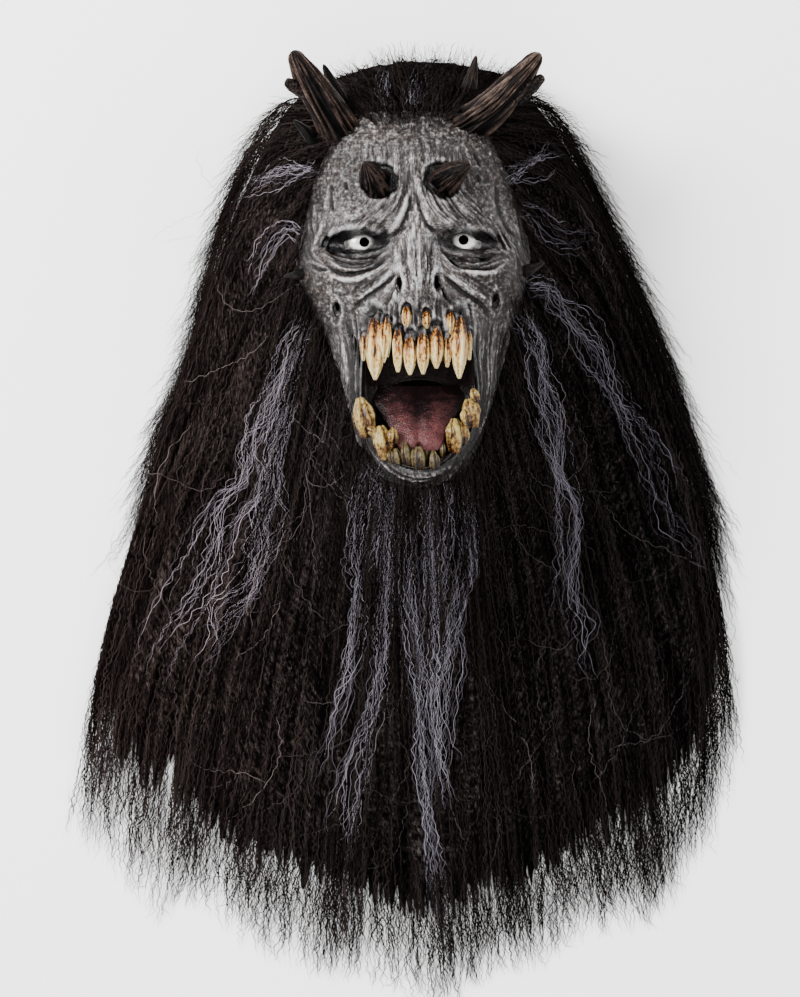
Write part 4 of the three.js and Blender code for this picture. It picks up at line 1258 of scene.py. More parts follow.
class Head:
    """The latex casting, its painted face and the lining of the mouth."""

    def __init__(self, skull: Skull, relief: FaceRelief, size: HeadSize = HeadSize()) -> None:
        """Keep what the head is built from."""
        self.skull, self.relief, self.size = skull, relief, size
        self.crown = in_row(0.0, size.crown_tip, float(skull.at(SKULL[0].v, "mid")))

    def outside(self) -> Body:
        """The outside of the head as a closed body, with all its relief."""
        size, relief = self.size, self.relief
        rows = np.concatenate([
            np.arange(113.0, 100.0, -1.8), np.arange(100.0, -176.0, -size.row_pitch),
            np.arange(-176.0, size.neck_rim, -3.0), [size.neck_rim],
        ])
        ends = (0.0, 0.13 * np.pi, 0.87 * np.pi, np.pi)
        counts = (size.side_columns, size.face_columns, size.side_columns)
        face = np.concatenate([np.linspace(low, high, count, endpoint=False)
                               for low, high, count in zip(ends, ends[1:], counts)])
        grid = self.skull.rings(rows, face, size.nape_columns, 0.0)
        around = (np.roll(grid, -1, axis=1) - np.roll(grid, 1, axis=1)) / 2
        normal = unit(np.cross(np.gradient(grid, axis=0), around))
        normal *= np.sign(normal[len(rows) // 2, len(face) // 2, 2])
        x, v = grid[:, :, 0] - EYE_LINE_X, grid[:, :, 1] - EYE_LINE_Y
        on_face = smoothstep(60.0, 95.0, grid[:, :, 2]) * smoothstep(-184.0, -174.0, v)
        height = (relief.sample(relief.height, x, v) - 0.9) * on_face
        body = loft(grid + normal * height[:, :, None], self.crown)
        for name in ("ridge", "black_paint_and_shade", "earth", "lumpy"):
            value = relief.sample(getattr(relief, name), x, v) * on_face
            if name == "ridge":
                value = value + 0.30 * (1 - on_face)
            body.values[name] = np.concatenate([value.ravel(), [0.3, 0.3]])
        angle = relief.bearing(x, v).ravel()
        weights = [np.clip(np.cos(2 * (angle - turn)), 0, 1) ** 1.5 for turn in FLOW_TURNS]
        body.values["flow_weight"] = np.vstack([np.stack(weights, axis=1), np.full((2, 4), 0.5)])
        return body

    def cavity(self) -> Body:
        """The hollow for the wearer's head."""
        size = self.size
        rows = [*np.arange(108.0, size.neck_rim, -6.0), size.neck_rim - 6.0]
        grid = self.skull.rings(rows, np.pi * np.arange(40) / 40, 20, size.wall + 0.6)
        return loft(grid, self.crown - (0.0, size.wall, 0.0))

    @staticmethod
    def mouth_ring(scale: Number, grow: float, z: Number, count: int) -> Points:
        """Ring of the mouth pocket, scaled about its centre and grown outward."""
        away = closed_spline(MOUTH_RIM, count) - MOUTH_CENTRE
        reach = np.linalg.norm(away, axis=1, keepdims=True)
        flat = MOUTH_CENTRE + away * (np.reshape(scale, (-1, 1)) + grow / reach)
        return in_row(flat[:, 0], flat[:, 1], z)

    def pocket(self, grow: float, count: int) -> Body:
        """The mouth as a filled pocket, grown sideways and toward the back."""
        cuts = [self.mouth_ring(scale, grow, z - grow, count)
                for z, scale in reversed(self.size.pocket_cuts)]
        return loft([self.mouth_ring(1.0, grow, 240.0, count), *cuts])

    @staticmethod
    def straight_cut(x: float, v: float, wide: float, tall: float, low: float, high: float,
                     point: float = 1.0) -> Body:
        """Straight oval cutter through the face."""
        return loft([oval(x, v, wide, tall, z, 40, point) for z in (low, high)])

    def _pit(self, x: float, v: float, wide: float, tall: float) -> Body:
        """Pointed oval cutter that sinks into the face."""
        top = float(self.skull.height(x, v))
        cuts = ((8.0, 1.1), (0.0, 1.0), (-2.5, 0.8), (-4.5, 0.35))
        return loft([oval(x, v, wide * share, tall * share, top + depth, 24)
                     for depth, share in cuts])

    def build(self, skin: Material, inside: Material) -> Object:
        """Cut the casting out of the closed head.

        Args:
            skin: Material of the outside.
            inside: Material of the hollow.

        Returns:
            The finished piece.
        """
        head = self.outside().to_object("mask_skin", skin)
        hollow = self.cavity().to_object("hollow", inside)
        boolean(hollow, self.pocket(self.size.wall, 96).to_object("wall", inside))
        boolean(head, hollow)
        cuts = [self.pocket(0.0, 160), self.straight_cut(*SLOT, 130, 175)]
        cuts += [self.straight_cut(*opening, 150, 230, 1.5) for opening in EYE_OPENINGS]
        for cut in [*cuts, *(self._pit(*pit) for pit in PITS)]:
            boolean(head, cut.to_object("cut", skin))
        head.data.set_sharp_from_angle(angle=math.radians(75))
        return head

    def lining(self, dull: Material, wet: Material, count: int = 150) -> Object:
        """Skin over the wall and floor of the mouth, open at the slot, wet below it.

        Args:
            dull: Material toward the crown.
            wet: Material toward the chin.
            count: Points around.

        Returns:
            The finished piece.
        """
        rim = self.mouth_ring(1.0, 0.8, 0.0, count)
        top = self.skull.height(rim[:, 0] - EYE_LINE_X, rim[:, 1] - EYE_LINE_Y) - 1.2
        inner = []
        for share in shares(22):
            z = top * (1 - share) + 152.2 * share
            inner.append(self.mouth_ring(np.interp(z, *zip(*self.size.pocket_cuts)), -1.6, z, count))
        floor = self.mouth_ring(0.64, -1.6, 151.6, count)
        away = floor[:, :2] - floor.mean(axis=0)[:2]
        angle = np.arctan2(away[:, 1], away[:, 0])
        slot = in_row(SLOT[0] + (SLOT[2] + 0.9) * np.cos(angle),
                      SLOT[1] + (SLOT[3] + 0.9) * np.sin(angle), 150.9)
        inner = np.array([*inner, *(floor * (1 - share) + slot * share for share in shares(14))])
        rows = len(inner)
        depth = np.arange(rows)[:, None]
        around = np.arange(count)
        bumps = noise2(around / 3.0, depth / 2.2, 41) * 0.8 + noise2(around / 7.0, depth / 4.0, 42)
        toward = unit(in_row(*MOUTH_CENTRE, 175.0) - inner)
        calm = smoothstep(0, 3, depth) * smoothstep(0, 3, rows - 1 - depth)
        relief = inner + toward * ((bumps + 1.0) * 0.6 * calm)[:, :, None]
        points = np.vstack([relief, (inner - toward * 0.7)[::-1]]).reshape(-1, 3)
        number = np.arange(len(points)).reshape(-1, count)
        number = np.vstack([number, number[:1]])
        faces = grid_faces(np.column_stack([number, number[:, 0]]))
        thing = Body(points, faces).to_object("mouth_lining", dull)
        thing.data.materials.append(wet)
        low = (EYE_LINE_Y + SLOT[1]) * MM
        for polygon in thing.data.polygons:
            polygon.material_index = int(polygon.center.y < low)
        return thing


TONGUE_CUTS = (
    (-101.0, 33.0, 2.0, 153.5), (-107.0, 35.0, 3.6, 157.0), (-113.0, 33.0, 4.8, 161.0),
    (-120.0, 28.0, 5.8, 166.0), (-128.0, 23.0, 6.4, 171.5), (-136.0, 18.6, 6.2, 176.5),
    (-142.0, 16.4, 4.6, 180.0), (-145.8, 13.0, 2.4, 181.0),
)


class Mouth:
    """Teeth and tongue."""

    def __init__(self, skull: Skull) -> None:
        """Keep the skull the teeth are rooted in."""
        self.skull = skull

    def upper(self, tooth: Tooth, seed: int) -> Body:
        """One upper tooth: a ribbed spindle that ends in a rounded tip."""
        root_z = float(self.skull.height(tooth.x, tooth.root)) + (0.6 if tooth.high else -0.4)
        lean, drop, wide, ribs = (5.0, 1.0, 1.16, 5) if tooth.canine else (2.5, 3.0, 1.12, 4)
        middle = tooth.root + (tooth.tip - tooth.root) * 0.45
        axis = in_row(tooth.x, np.array([tooth.root + 1.5, middle, tooth.tip]),
                      root_z + np.array([-2.5, lean * 0.6, -drop]))
        radius = tooth.width / 2 * wide
        radii = [radius * share for share in (0.5, 0.86, 1.04, 1.0, 0.78)]
        return sweep(axis, [*radii, 1.1], 30, 24, self._ribs(seed, ribs, 1.7), 0.85)

    def lower(self, tooth: JawTooth, seed: int) -> Body:
        """One lower tooth: stout, lobed and worn."""
        rim = float(self.skull.height(tooth.root[0], max(tooth.root[1], -160.0)))
        root, tip = np.array(tooth.root), np.array(tooth.tip)
        line = np.array([root, (root + tip) / 2, tip + (tip - root) * 0.05])
        lift = rim - 2.0 - tooth.depth + tooth.lift + np.array([-3.0, 2.4, 1.0])
        radii = [tooth.width / 2 * share for share in (0.85, 1.1, 1.2, 1.0, 0.42)]
        return sweep(in_row(line[:, 0], line[:, 1], lift), radii, 28, 24,
                     self._ribs(seed, 3, 2.3), 0.8)

    def lobed(self, name: str, tooth: Tooth | JawTooth, seed: int) -> Body:
        """A tooth with the lobes grown together with it."""
        make = self.upper if isinstance(tooth, Tooth) else self.lower
        body = make(tooth, seed)
        for k, (root, tip, width) in enumerate(LOBES.get(name, ()), 50):
            ends = {"root": root, "tip": tip}
            if isinstance(tooth, Tooth):
                ends = {"x": (root[0] + tip[0]) / 2, "root": root[1], "tip": tip[1]}
            body.join(make(replace(tooth, width=width, **ends), k))
        return body

    @staticmethod
    def _ribs(seed: int, count: int, rough: float) -> Callable[[Points, Points], Points]:
        """Ribs and dents around a tooth."""
        def profile(angle: Points, t: Points) -> Points:
            """Factor on the radius."""
            ribs = 0.05 * np.cos(count * angle + seed) + 0.035 * np.cos(7 * angle + 2 * seed + t)
            dents = noise3(1.8 * np.cos(angle) + seed, 1.8 * np.sin(angle), 3.0 * t, seed)
            return 1.0 + rough * (ribs + 0.07 * dents)
        return profile

    @staticmethod
    def tongue(steps: int = 56, sides: int = 72) -> Body:
        """Tongue with a middle groove, a wide root and two lobes at its end."""
        t = shares(steps)[:, None]
        level, half, thick, height = spline(TONGUE_CUTS, t[:, 0]).T[:, :, None]
        across, up = np.cos(circle(sides)), np.sin(circle(sides))
        groove = 4.0 * np.exp(-((across / 0.13) ** 2)) * (up > 0) * (0.35 + 0.65 * t ** 2)
        notch = 6.5 * np.exp(-((across / 0.12) ** 2)) * t ** 8
        x = EYE_LINE_X + MOUTH_CENTRE[0] + half * across
        y = EYE_LINE_Y + level + notch - 1.5 * t ** 6
        bumps = (0.55 * noise2(x / 2.4, y / 2.4, 52) + 0.25 * noise2(x, y, 53)) * (up > 0)
        body = loft(np.stack([x, y, height + thick * up - groove + bumps], axis=2))
        body.values["along"] = np.concatenate([np.repeat(t, sides), [0.0, 1.0]])
        stain = np.exp(-((across / 0.3) ** 2) - ((t - 0.36) / 0.24) ** 2)
        rim = np.abs(across) ** 4 * (1 - 0.8 * t) + 0.75 * stain * (up > 0)
        body.values["rim"] = np.concatenate([rim.ravel(), [0.5, 0.0]])
        return body


@dataclass(frozen=True)
class EyeSize:
    """Dome of an eye, in millimetres."""

    radius: float = 15.5
    wall: float = 2.2
    cap: float = 6.2
    front: float = 176.5
    hole: float = 3.6
    white: tuple[float, float] = (9.6, 6.2)


class Eye:
    """A white dome with a hole to look through."""

    def __init__(self, x: float, v: float, hole: tuple[float, float],
                 size: EyeSize = EyeSize()) -> None:
        """Keep the place of the dome and of its hole."""
        self.x, self.v, self.hole, self.size = x, v, hole, size

    def build(self, name: str, material: Material) -> Object:
        """Make the dome and cut the hole."""
        size = self.size
        edge = math.acos((size.radius - size.cap) / size.radius)
        profile = [(size.radius, a) for a in np.linspace(0.02, edge, 22)]
        profile += [(size.radius - size.wall, a) for a in np.linspace(edge, 0.02, 12)]
        centre = size.front - size.radius
        body = loft([oval(self.x, self.v, radius * math.sin(a), radius * math.sin(a),
                          centre + radius * math.cos(a), 56) for radius, a in profile])
        off = (body.points - in_row(self.x, self.v, 0.0))[:, :2] / size.white
        # edge: how far toward the rim of the white, for its painted shade
        body.values["edge"] = smoothstep(0.55, 1.05, np.hypot(*off.T))
        dome = body.to_object(name, material)
        hole = Head.straight_cut(*self.hole, size.hole, size.hole, 150, 200)
        boolean(dome, hole.to_object("hole", material))
        dome.data.set_sharp_from_angle(angle=math.radians(50))
        return dome


@dataclass(frozen=True)
class HornShape:
    """Axis and radii of a horn, and its fork if it has one."""

    axis: tuple[Place, ...]
    radii: tuple[float, ...]
    flutes: float
    fork: tuple[Place, Place, float] | None = None


HORNS = {
    "horn_left": HornShape(((-42, 271, 140), (-47, 281, 162), (-62, 304, 180), (-72, 320, 187),
                            (-80, 334, 190)), (14.2, 13, 10.4, 7.8, 3.8), 1.0,
                           ((-70, 305, 182), (-85, 313, 189), 5.0)),
    "horn_right": HornShape(((32, 274, 138), (40, 281, 160), (62, 297, 179), (80, 316, 188),
                             (94, 332, 191)), (13.6, 13.2, 10.4, 8, 4.2), 1.0,
                            ((76, 302, 184), (96.5, 316, 190), 5.4)),
    "horn_prong_left": HornShape(((-42, 288, 126), (-48, 304, 140), (-59, 329, 150)),
                                 (8, 6.5, 1.2), 0.8),
    "horn_prong_right": HornShape(((40, 292, 110), (45, 312, 124), (50, 337, 132)),
                                  (8, 6, 1.2), 0.8),
    "brow_horn_left": HornShape(((-20, 239, 176), (-21.8, 242.5, 192), (-26, 249, 205),
                                 (-29.5, 254, 212)), (10.4, 10, 6.6, 1.4), 0.8),
    "brow_horn_right": HornShape(((24, 240, 176), (27.5, 243.5, 192), (36, 249, 204),
                                  (44, 253, 211)), (10.4, 9.8, 6.6, 1.6), 0.8),
    "temple_spike_left": HornShape(((-61, 269, 152), (-70, 279, 159), (-80, 288, 161)),
                                   (5.4, 4.4, 1.2), 0.5),
    "cheek_spike_left": HornShape(((-69, 180, 160), (-78, 178, 162), (-87, 177.5, 160)),
                                  (4.6, 3.6, 0.8), 0.5),
    "cheek_spike_right": HornShape(((78, 179, 163), (87, 182, 162), (98, 187.5, 159)),
                                   (5.2, 4.2, 0.8), 0.5),
}


class Horn:
    """A horn or spike, grooved along its length."""

    def __init__(self, name: str, shape: HornShape, seed: int) -> None:
        """Keep the shape and the number that picks the grooves."""
        self.name, self.shape, self.seed = name, shape, seed

    def _groove(self, angle: Points, t: Points, count: float) -> Points:
        """Depth of the grooves from 0 in a groove to 1 on a ridge."""
        twist = angle + 0.5 * t
        x, y, z = count * np.cos(twist) + self.seed, count * np.sin(twist), 1.4 * t
        broad = np.abs(noise3(x, y, z, self.seed))
        narrow = np.abs(noise3(2.4 * x, 2.4 * y, 1.5 * z, self.seed + 1))
        return np.clip(broad * 3.0, 0, 1) ** 0.6 * (0.3 + 0.7 * np.clip(narrow * 3.4, 0, 1) ** 0.6)

    def _part(self, axis: Sequence[Place], radii: Sequence[float], sides: int,
              steps: int) -> Body:
        """One stretch of horn with a rounded end and grooves."""
        share = self.shape.flutes
        count = max(1.6, 0.32 * max(radii))

        def profile(angle: Points, t: Points) -> Points:
            """Factor on the radius, rounded off at the tip."""
            tip = np.sqrt(np.clip(1.0 - ((t - 0.93) / 0.072).clip(0, 1) ** 2, 0.02, 1))
            groove = self._groove(angle, t, count)
            return tip * (0.96 + 0.46 * share * (groove - 0.5) + 0.07 * np.cos(3 * angle + 2 * t))

        body = sweep(axis, radii, sides, steps, profile)
        t = shares(steps)[:, None]
        groove = self._groove(circle(sides), t, count) * 0.8 + 0.12 * t
        groove = np.clip(groove * (0.3 + 0.7 * share), 0, 1)
        body.values["groove"] = np.concatenate([groove.ravel(), [0.3, 0.7]])
        return body

    def build(self, material: Material) -> Object:
        """Make the horn and join its fork."""
        shape, big, small = self.shape, max(self.shape.radii), (36, 26)
        grid = (110, 54) if big > 11 else (76, 54) if big > 7.5 else small
        body = self._part(shape.axis, shape.radii, *grid)
        horn = body.to_object(self.name + "_carved", material)
        if shape.fork:
            start, end, radius = shape.fork
            middle = tuple(a + (b - a) * 0.6 for a, b in zip(start, end))
            fork = self._part((start, middle, end), (radius, radius * 0.85, 2.2), *small)
            boolean(horn, fork.to_object("fork", material), "UNION")
        return horn


LEFT_GUIDES = (
    ((-39, 295), (-92, 308), (-134, 240), (-153, 153), (-191, 58)),
    ((-63, 249), (-127, 194), (-160, 93), (-220, -63), (-248, -216)),
    ((-73, 207), (-121, 114), (-168, 4), (-206, -122), (-224, -239)),
    ((-77, 181), (-105, 77), (-136, -25), (-168, -144), (-185, -284)),
    ((-63, 148), (-86, 48), (-115, -70), (-142, -182), (-158, -274)),
    ((-47, 111), (-64, 19), (-86, -99), (-105, -211), (-116, -306)),
    ((-35, 65), (-45, -25), (-54, -121), (-64, -226), (-70, -326)),
)
BEARD_GUIDES = (
    LEFT_GUIDES[-1],
    ((-15, 35), (-21, -47), (-25, -136), (-30, -234), (-34, -331)),
    ((6, 26), (6, -61), (10, -158), (18, -258), (25, -353)),
    ((31, 33), (39, -54), (47, -144), (53, -241), (58, -332)),
    ((51, 54), (63, -32), (75, -121), (86, -226), (96, -322)),
)
RIGHT_GUIDES = (
    BEARD_GUIDES[-1],
    ((63, 90), (87, 4), (110, -99), (125, -204), (137, -299)),
    ((74, 140), (109, 34), (136, -70), (157, -182), (169, -295)),
    ((84, 168), (134, 55), (169, -55), (185, -167), (196, -280)),
    ((86, 206), (149, 121), (191, 4), (217, -115), (220, -242)),
    ((68, 256), (149, 194), (199, 71), (229, -48), (246, -164)),
    ((44, 295), (101, 311), (151, 229), (196, 123), (236, -5)),
)
CROWN_GUIDES = (
    ((-29, 293), (-44, 314), (-59, 330)),
    ((-8, 293), (-15, 318), (-23, 343)),
    ((5, 293), (3, 318), (0, 347)),
    ((24, 293), (30, 318), (36, 345)),
    ((38, 294), (54, 316), (72, 337)),
)
CROWN_SIDE_SHARE = 0.25
TIP_ORDER = (0, 2, 1, 0, 2, 1, 0, 2, 0, 2, 1, 3)


class Edge(Enum):
    """Which side of a sheet of hair is the outside of the whole."""

    NONE = 0
    FIRST = 1
    LAST = 2


@dataclass(frozen=True)
class SheetStyle:
    """How a sheet of hair falls, in millimetres and shares."""

    fall: tuple[float, float]
    heap: float
    lift: float
    edge: Edge
    crown: bool = False
    columns: int = 150
    rows: int = 84


class Sheet:
    """A sheet of hair between guide locks."""

    EDGE_STARTS = (0.16, 0.34)
    TIP_HEIGHT = 9.0
    END_STEP = 0.03
    FLOW_WIDTH = 0.042
    FLOOR = 0.3

    def __init__(self, name: str, guides: Sequence, style: SheetStyle, skull: Skull,
                 seed: int) -> None:
        """Keep the guides and sizes."""
        self.name, self.style, self.skull, self.seed = name, style, skull, seed
        self.guides = guides
        self.spans = len(guides) - 1
        ends = (0.0, self.END_STEP, 1 - self.END_STEP, 1.0)
        ends = np.array([spline(guide, ends) for guide in guides])
        self.start_run, self.end_run = (ends[:, 1::2] - ends[:, ::2]).swapaxes(0, 1) / self.END_STEP

    def flat(self, s: Number, t: Number) -> Points:
        """Place seen from above at share s across and t along, which may pass both ends."""
        s, t = np.broadcast_arrays(s, t)
        place = np.clip(s.ravel(), 0, 1) * self.spans
        span = np.minimum(place.astype(int), self.spans - 1)
        w = (place - span)[:, None]
        stack = np.array([spline(guide, t.ravel()) for guide in self.guides])
        index = np.arange(place.size)
        out = stack[span, index] * (1 - w) + stack[span + 1, index] * w
        for run, over in ((self.start_run, np.minimum(t, 0)), (self.end_run, np.maximum(t - 1, 0))):
            out = out + (run[span] * (1 - w) + run[span + 1] * w) * over.ravel()[:, None]
        return out.reshape(*s.shape, 2)

    def point(self, s: Number, t: Number, lift: Number) -> Points:
        """Place on the top of the hair, lifted by the given amount."""
        style = self.style
        s, t = np.broadcast_arrays(np.asarray(s, float), np.asarray(t, float))
        root, here = self.flat(s, np.minimum(t, 0)), self.flat(s, t)
        away = np.linalg.norm(here - root, axis=-1)
        start = self.skull.height(root[..., 0] - EYE_LINE_X, root[..., 1] - EYE_LINE_Y) + style.lift
        low = style.heap + (self.TIP_HEIGHT - style.heap) * np.clip(t, 0, 1) ** 0.8
        fall = style.fall[0] + (style.fall[1] - style.fall[0]) * s
        z = low + (start - low) * np.exp(-((away / fall) ** 1.6))
        if style.crown:
            z = z * (1 - 0.35 * smoothstep(0.7, 1.0, t))
        else:
            z = z * self._edge(s, t) * (1 - 0.75 * smoothstep(0.88, 1.0, t))
        return np.concatenate([here, (z + lift)[..., None]], axis=-1)

    def _edge(self, s: Points, t: Points) -> Number:
        """Rounding of the height toward the outside edge, below where the crown joins."""
        if self.style.edge is Edge.NONE:
            return 1.0
        inward = s if self.style.edge is Edge.FIRST else 1.0 - s
        return 1.0 - 0.72 * smoothstep(0.12, 0.0, inward) * smoothstep(*self.EDGE_STARTS, t)

    def _noise(self, x: Number, y: Number, which: int) -> Points:
        """Noise of this sheet's own."""
        return noise2(x, y, self.seed + which)

    def _top(self) -> Points:
        """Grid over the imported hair: columns of points from root to tip."""
        style, noise = self.style, self._noise
        s, share = shares(style.columns)[:, None], shares(style.rows)[None, :]
        spikes = np.abs(noise(s * self.spans * 2.6, 0.5, 3))
        spikes = spikes + 0.5 * np.abs(noise(s * self.spans * 6.1, 0.5, 4))
        tufts = np.random.default_rng(self.seed).uniform(-0.05, 0.02, (style.columns, 1))
        end = 0.94 - 0.06 * spikes if style.crown else 0.862 - 0.02 * spikes + tufts
        t = share * (1 + (end - 1) * share)
        inset = 0.062 + 0.04 * (noise(t * 7, 0.5, 5) + 0.6 * noise(t * 19, 0.5, 6))
        inset = inset * smoothstep(*self.EDGE_STARTS, t)
        if style.edge is Edge.NONE:
            inset = 0.0 * inset
        s = s + (1 - s) * inset if style.edge is Edge.FIRST else s * (1 - inset)
        column = s * self.spans
        locks = noise(column * 1.9 + 0.5 * noise(s * 3, share * 3, 8), share * 1.8, 0)
        small = noise(column * 6.0 + 0.8 * noise(s * 6, share * 6, 9), share * 4.0, 1)
        fuzz = noise(column * 15.0, share * 14.0, 2)
        relief = (6.5 * locks + 2.8 * small + 1.2 * fuzz) * smoothstep(0.0, 0.15, share)
        relief = relief * (1 - 0.6 * smoothstep(0.8, 1.0, share)) - 1.5 - 8.0 * np.exp(-share / 0.03)
        top = self.point(s, t, relief)
        if not style.crown:
            top[..., 2] *= 1 - 0.8 * smoothstep(0.84, 1.0, share)
        top[..., 2] = np.maximum(top[..., 2], 1.6)
        return top

    def mass(self) -> Body:
        """Closed body of packed hair, with the flow of the hair laid out in its map."""
        columns, rows = self.style.columns, self.style.rows
        top = self._top()
        run = np.cumsum(np.linalg.norm(np.diff(top, axis=1), axis=2), axis=1) * MM
        length = np.column_stack([np.zeros(columns), run])
        share = shares(columns)[:, None] * self.spans * self.FLOW_WIDTH
        flow = np.stack(np.broadcast_arrays(share, length), axis=2).reshape(-1, 2)
        number = np.arange(columns * rows).reshape(columns, rows)
        ring = np.concatenate([number[:, 0], number[-1, 1:], number[-2::-1, -1], number[0, -2:0:-1]])
        low = np.arange(len(ring)) + columns * rows
        walls = np.column_stack([ring, np.roll(ring, -1), np.roll(low, -1), low])
        faces = [*grid_faces(number), *walls.tolist(), low[::-1].tolist()]
        top = top.reshape(-1, 3)
        rim = top[ring] * (1, 1, 0) + (0, 0, self.FLOOR)
        wall = flow[ring] + top[ring, 2:] * MM
        return Body(np.vstack([top, rim]), faces, uv=np.vstack([flow, wall]))


@dataclass
class Strands:
    """Paths of single strands in millimetres, with a shade and a width factor each."""

    paths: list[Points] = field(default_factory=list)
    shades: list[float] = field(default_factory=list)
    widths: list[float] = field(default_factory=list)

    def add(self, path: Points, shade: float, width: float) -> None:
        """Add one strand."""
        self.paths.append(path)
        self.shades.append(shade)
        self.widths.append(width)


@dataclass(frozen=True)
class StrandSize:
    """Crimp and width of strands in metres; spread is how far they are out of step."""

    step: float
    crimp_length: float
    crimp_height: float
    width: float
    seed: int
    spread: float = 6.28


class StrandTree(NodeTree):
    """Node tree that resamples strand paths, crimps them and gives them width."""

    INPUTS = {"step": "Float", "crimp_length": "Float", "crimp_height": "Float", "width": "Float",
              "spread": "Float", "seed": "Int", "material": "Material"}

    def __init__(self) -> None:
        """Resample, crimp, sweep, realise and paint."""
        super().__init__(bpy.data.node_groups.new("Crimped strands", "GeometryNodeTree"))
        for way in ("INPUT", "OUTPUT"):
            self.tree.interface.new_socket("Geometry", in_out=way, socket_type="NodeSocketGeometry")
        for name, kind in self.INPUTS.items():
            self.tree.interface.new_socket(name, in_out="INPUT", socket_type="NodeSocket" + kind)
        self.entry = self.node("NodeGroupInput")
        share = self.add("GeometryNodeInputNamedAttribute", {"Name": "width"}, data_type="FLOAT")
        paths = self.add("GeometryNodeMeshToCurve", {"Mesh": self.given("Geometry")})
        paths = self.add("GeometryNodeSetCurveRadius", {"Curve": paths, "Radius": share})
        paths = self.add("GeometryNodeResampleCurve",
                         {"Curve": paths, "Length": self.given("step")}, mode="LENGTH")
        paths = self.add("GeometryNodeSetPosition", {"Geometry": paths, "Offset": self._crimp()})
        paths = self.add("GeometryNodeSetCurveNormal", {"Curve": paths}, mode="Z_UP")
        half = self.given("width") * 0.5
        left, right = (self.add("ShaderNodeCombineXYZ", {0: end}) for end in (half * -1.0, half))
        line = self.add("GeometryNodeCurvePrimitiveLine", {"Start": left, "End": right})
        body = self.add("GeometryNodeCurveToMesh", {
            "Curve": paths, "Scale": self.add("GeometryNodeInputRadius"), "Profile Curve": line})
        real = self.add("GeometryNodeRealizeInstances", {0: body})
        paint = self.add("GeometryNodeSetMaterial",
                         {"Geometry": real, "Material": self.given("material")})
        self.node("NodeGroupOutput", {"Geometry": paint})

    def given(self, name: str) -> Wire:
        """Value given to the tree."""
        return Wire(self, self.entry.outputs[name])

    def _chance(self, which: Wire, offset: int) -> Wire:
        """Random value from 0 to 1 for each strand."""
        return self.add("FunctionNodeRandomValue", {"ID": which, "Seed": self.given("seed") + offset},
                        1, data_type="FLOAT")

    def _crimp(self) -> Wire:
        """Offset of each point of a strand from its smooth path."""
        which = self.add("GeometryNodeCurveOfPoint", output="Curve Index")
        first, second = (self._chance(which, k) for k in (0, 1))
        length = self.add("GeometryNodeSplineParameter", output="Length")
        turns = length / self.given("crimp_length") * (second * 0.5 + 0.75) * (2 * math.pi)
        slow = (turns * 0.13 + first * 6.28).sine()
        phase = turns + first * self.given("spread") + slow * 3.0
        swell = (turns * 0.21 + second * 12.6).sine()
        height = self.given("crimp_height") * (swell * 0.55 + 0.85)
        upward = self.math("COSINE", phase * 0.93) * (height * 0.5)
        tangent = self.add("GeometryNodeInputTangent")
        side = self.add("ShaderNodeVectorMath", {0: tangent, 1: (0.0, 0.0, 1.0)},
                        operation="CROSS_PRODUCT")
        side = self.add("ShaderNodeVectorMath", {0: side, "Scale": phase.sine() * height},
                        operation="SCALE")
        up = self.add("ShaderNodeCombineXYZ", {2: upward})
        return self.add("ShaderNodeVectorMath", {0: side, 1: up}, operation="ADD")

    def apply(self, name: str, strands: Strands, size: StrandSize, material: Material) -> Object:
        """Turn strand paths into one plain mesh.

        Args:
            name: Name of the piece.
            strands: Paths, shades and widths.
            size: Crimp and width.
            material: Material of the strands.

        Returns:
            The piece.
        """
        counts = [len(path) for path in strands.paths]
        taper = [np.clip(np.minimum(t / 0.04 + 0.3, (1 - t) / 0.12 + 0.12), 0, 1)
                 for t in map(shares, counts)]
        edges = np.arange(sum(counts))
        edges = np.delete(edges, np.cumsum(counts) - 1)
        mesh = bpy.data.meshes.new(name)
        mesh.from_pydata((np.vstack(strands.paths) * MM).tolist(),
                         np.column_stack([edges, edges + 1]).tolist(), [])
        store(mesh, "shade", np.repeat(strands.shades, counts))
        store(mesh, "width", np.repeat(strands.widths, counts) * np.concatenate(taper))
        thing = add_object(name, mesh)
        modifier = thing.modifiers.new("strands", "NODES")
        modifier.node_group = self.tree
        values = {**vars(size), "material": material}
        for item in self.tree.interface.items_tree:
            if item.name in values:
                modifier[item.identifier] = values[item.name]
        bake(thing)
        thing.data.shade_smooth()
        return thing


@dataclass(frozen=True)
class Streak:
    """A lock of grey strands along a line of pixel readings."""

    line: Sequence[Pixel]
    width: float
    count: int


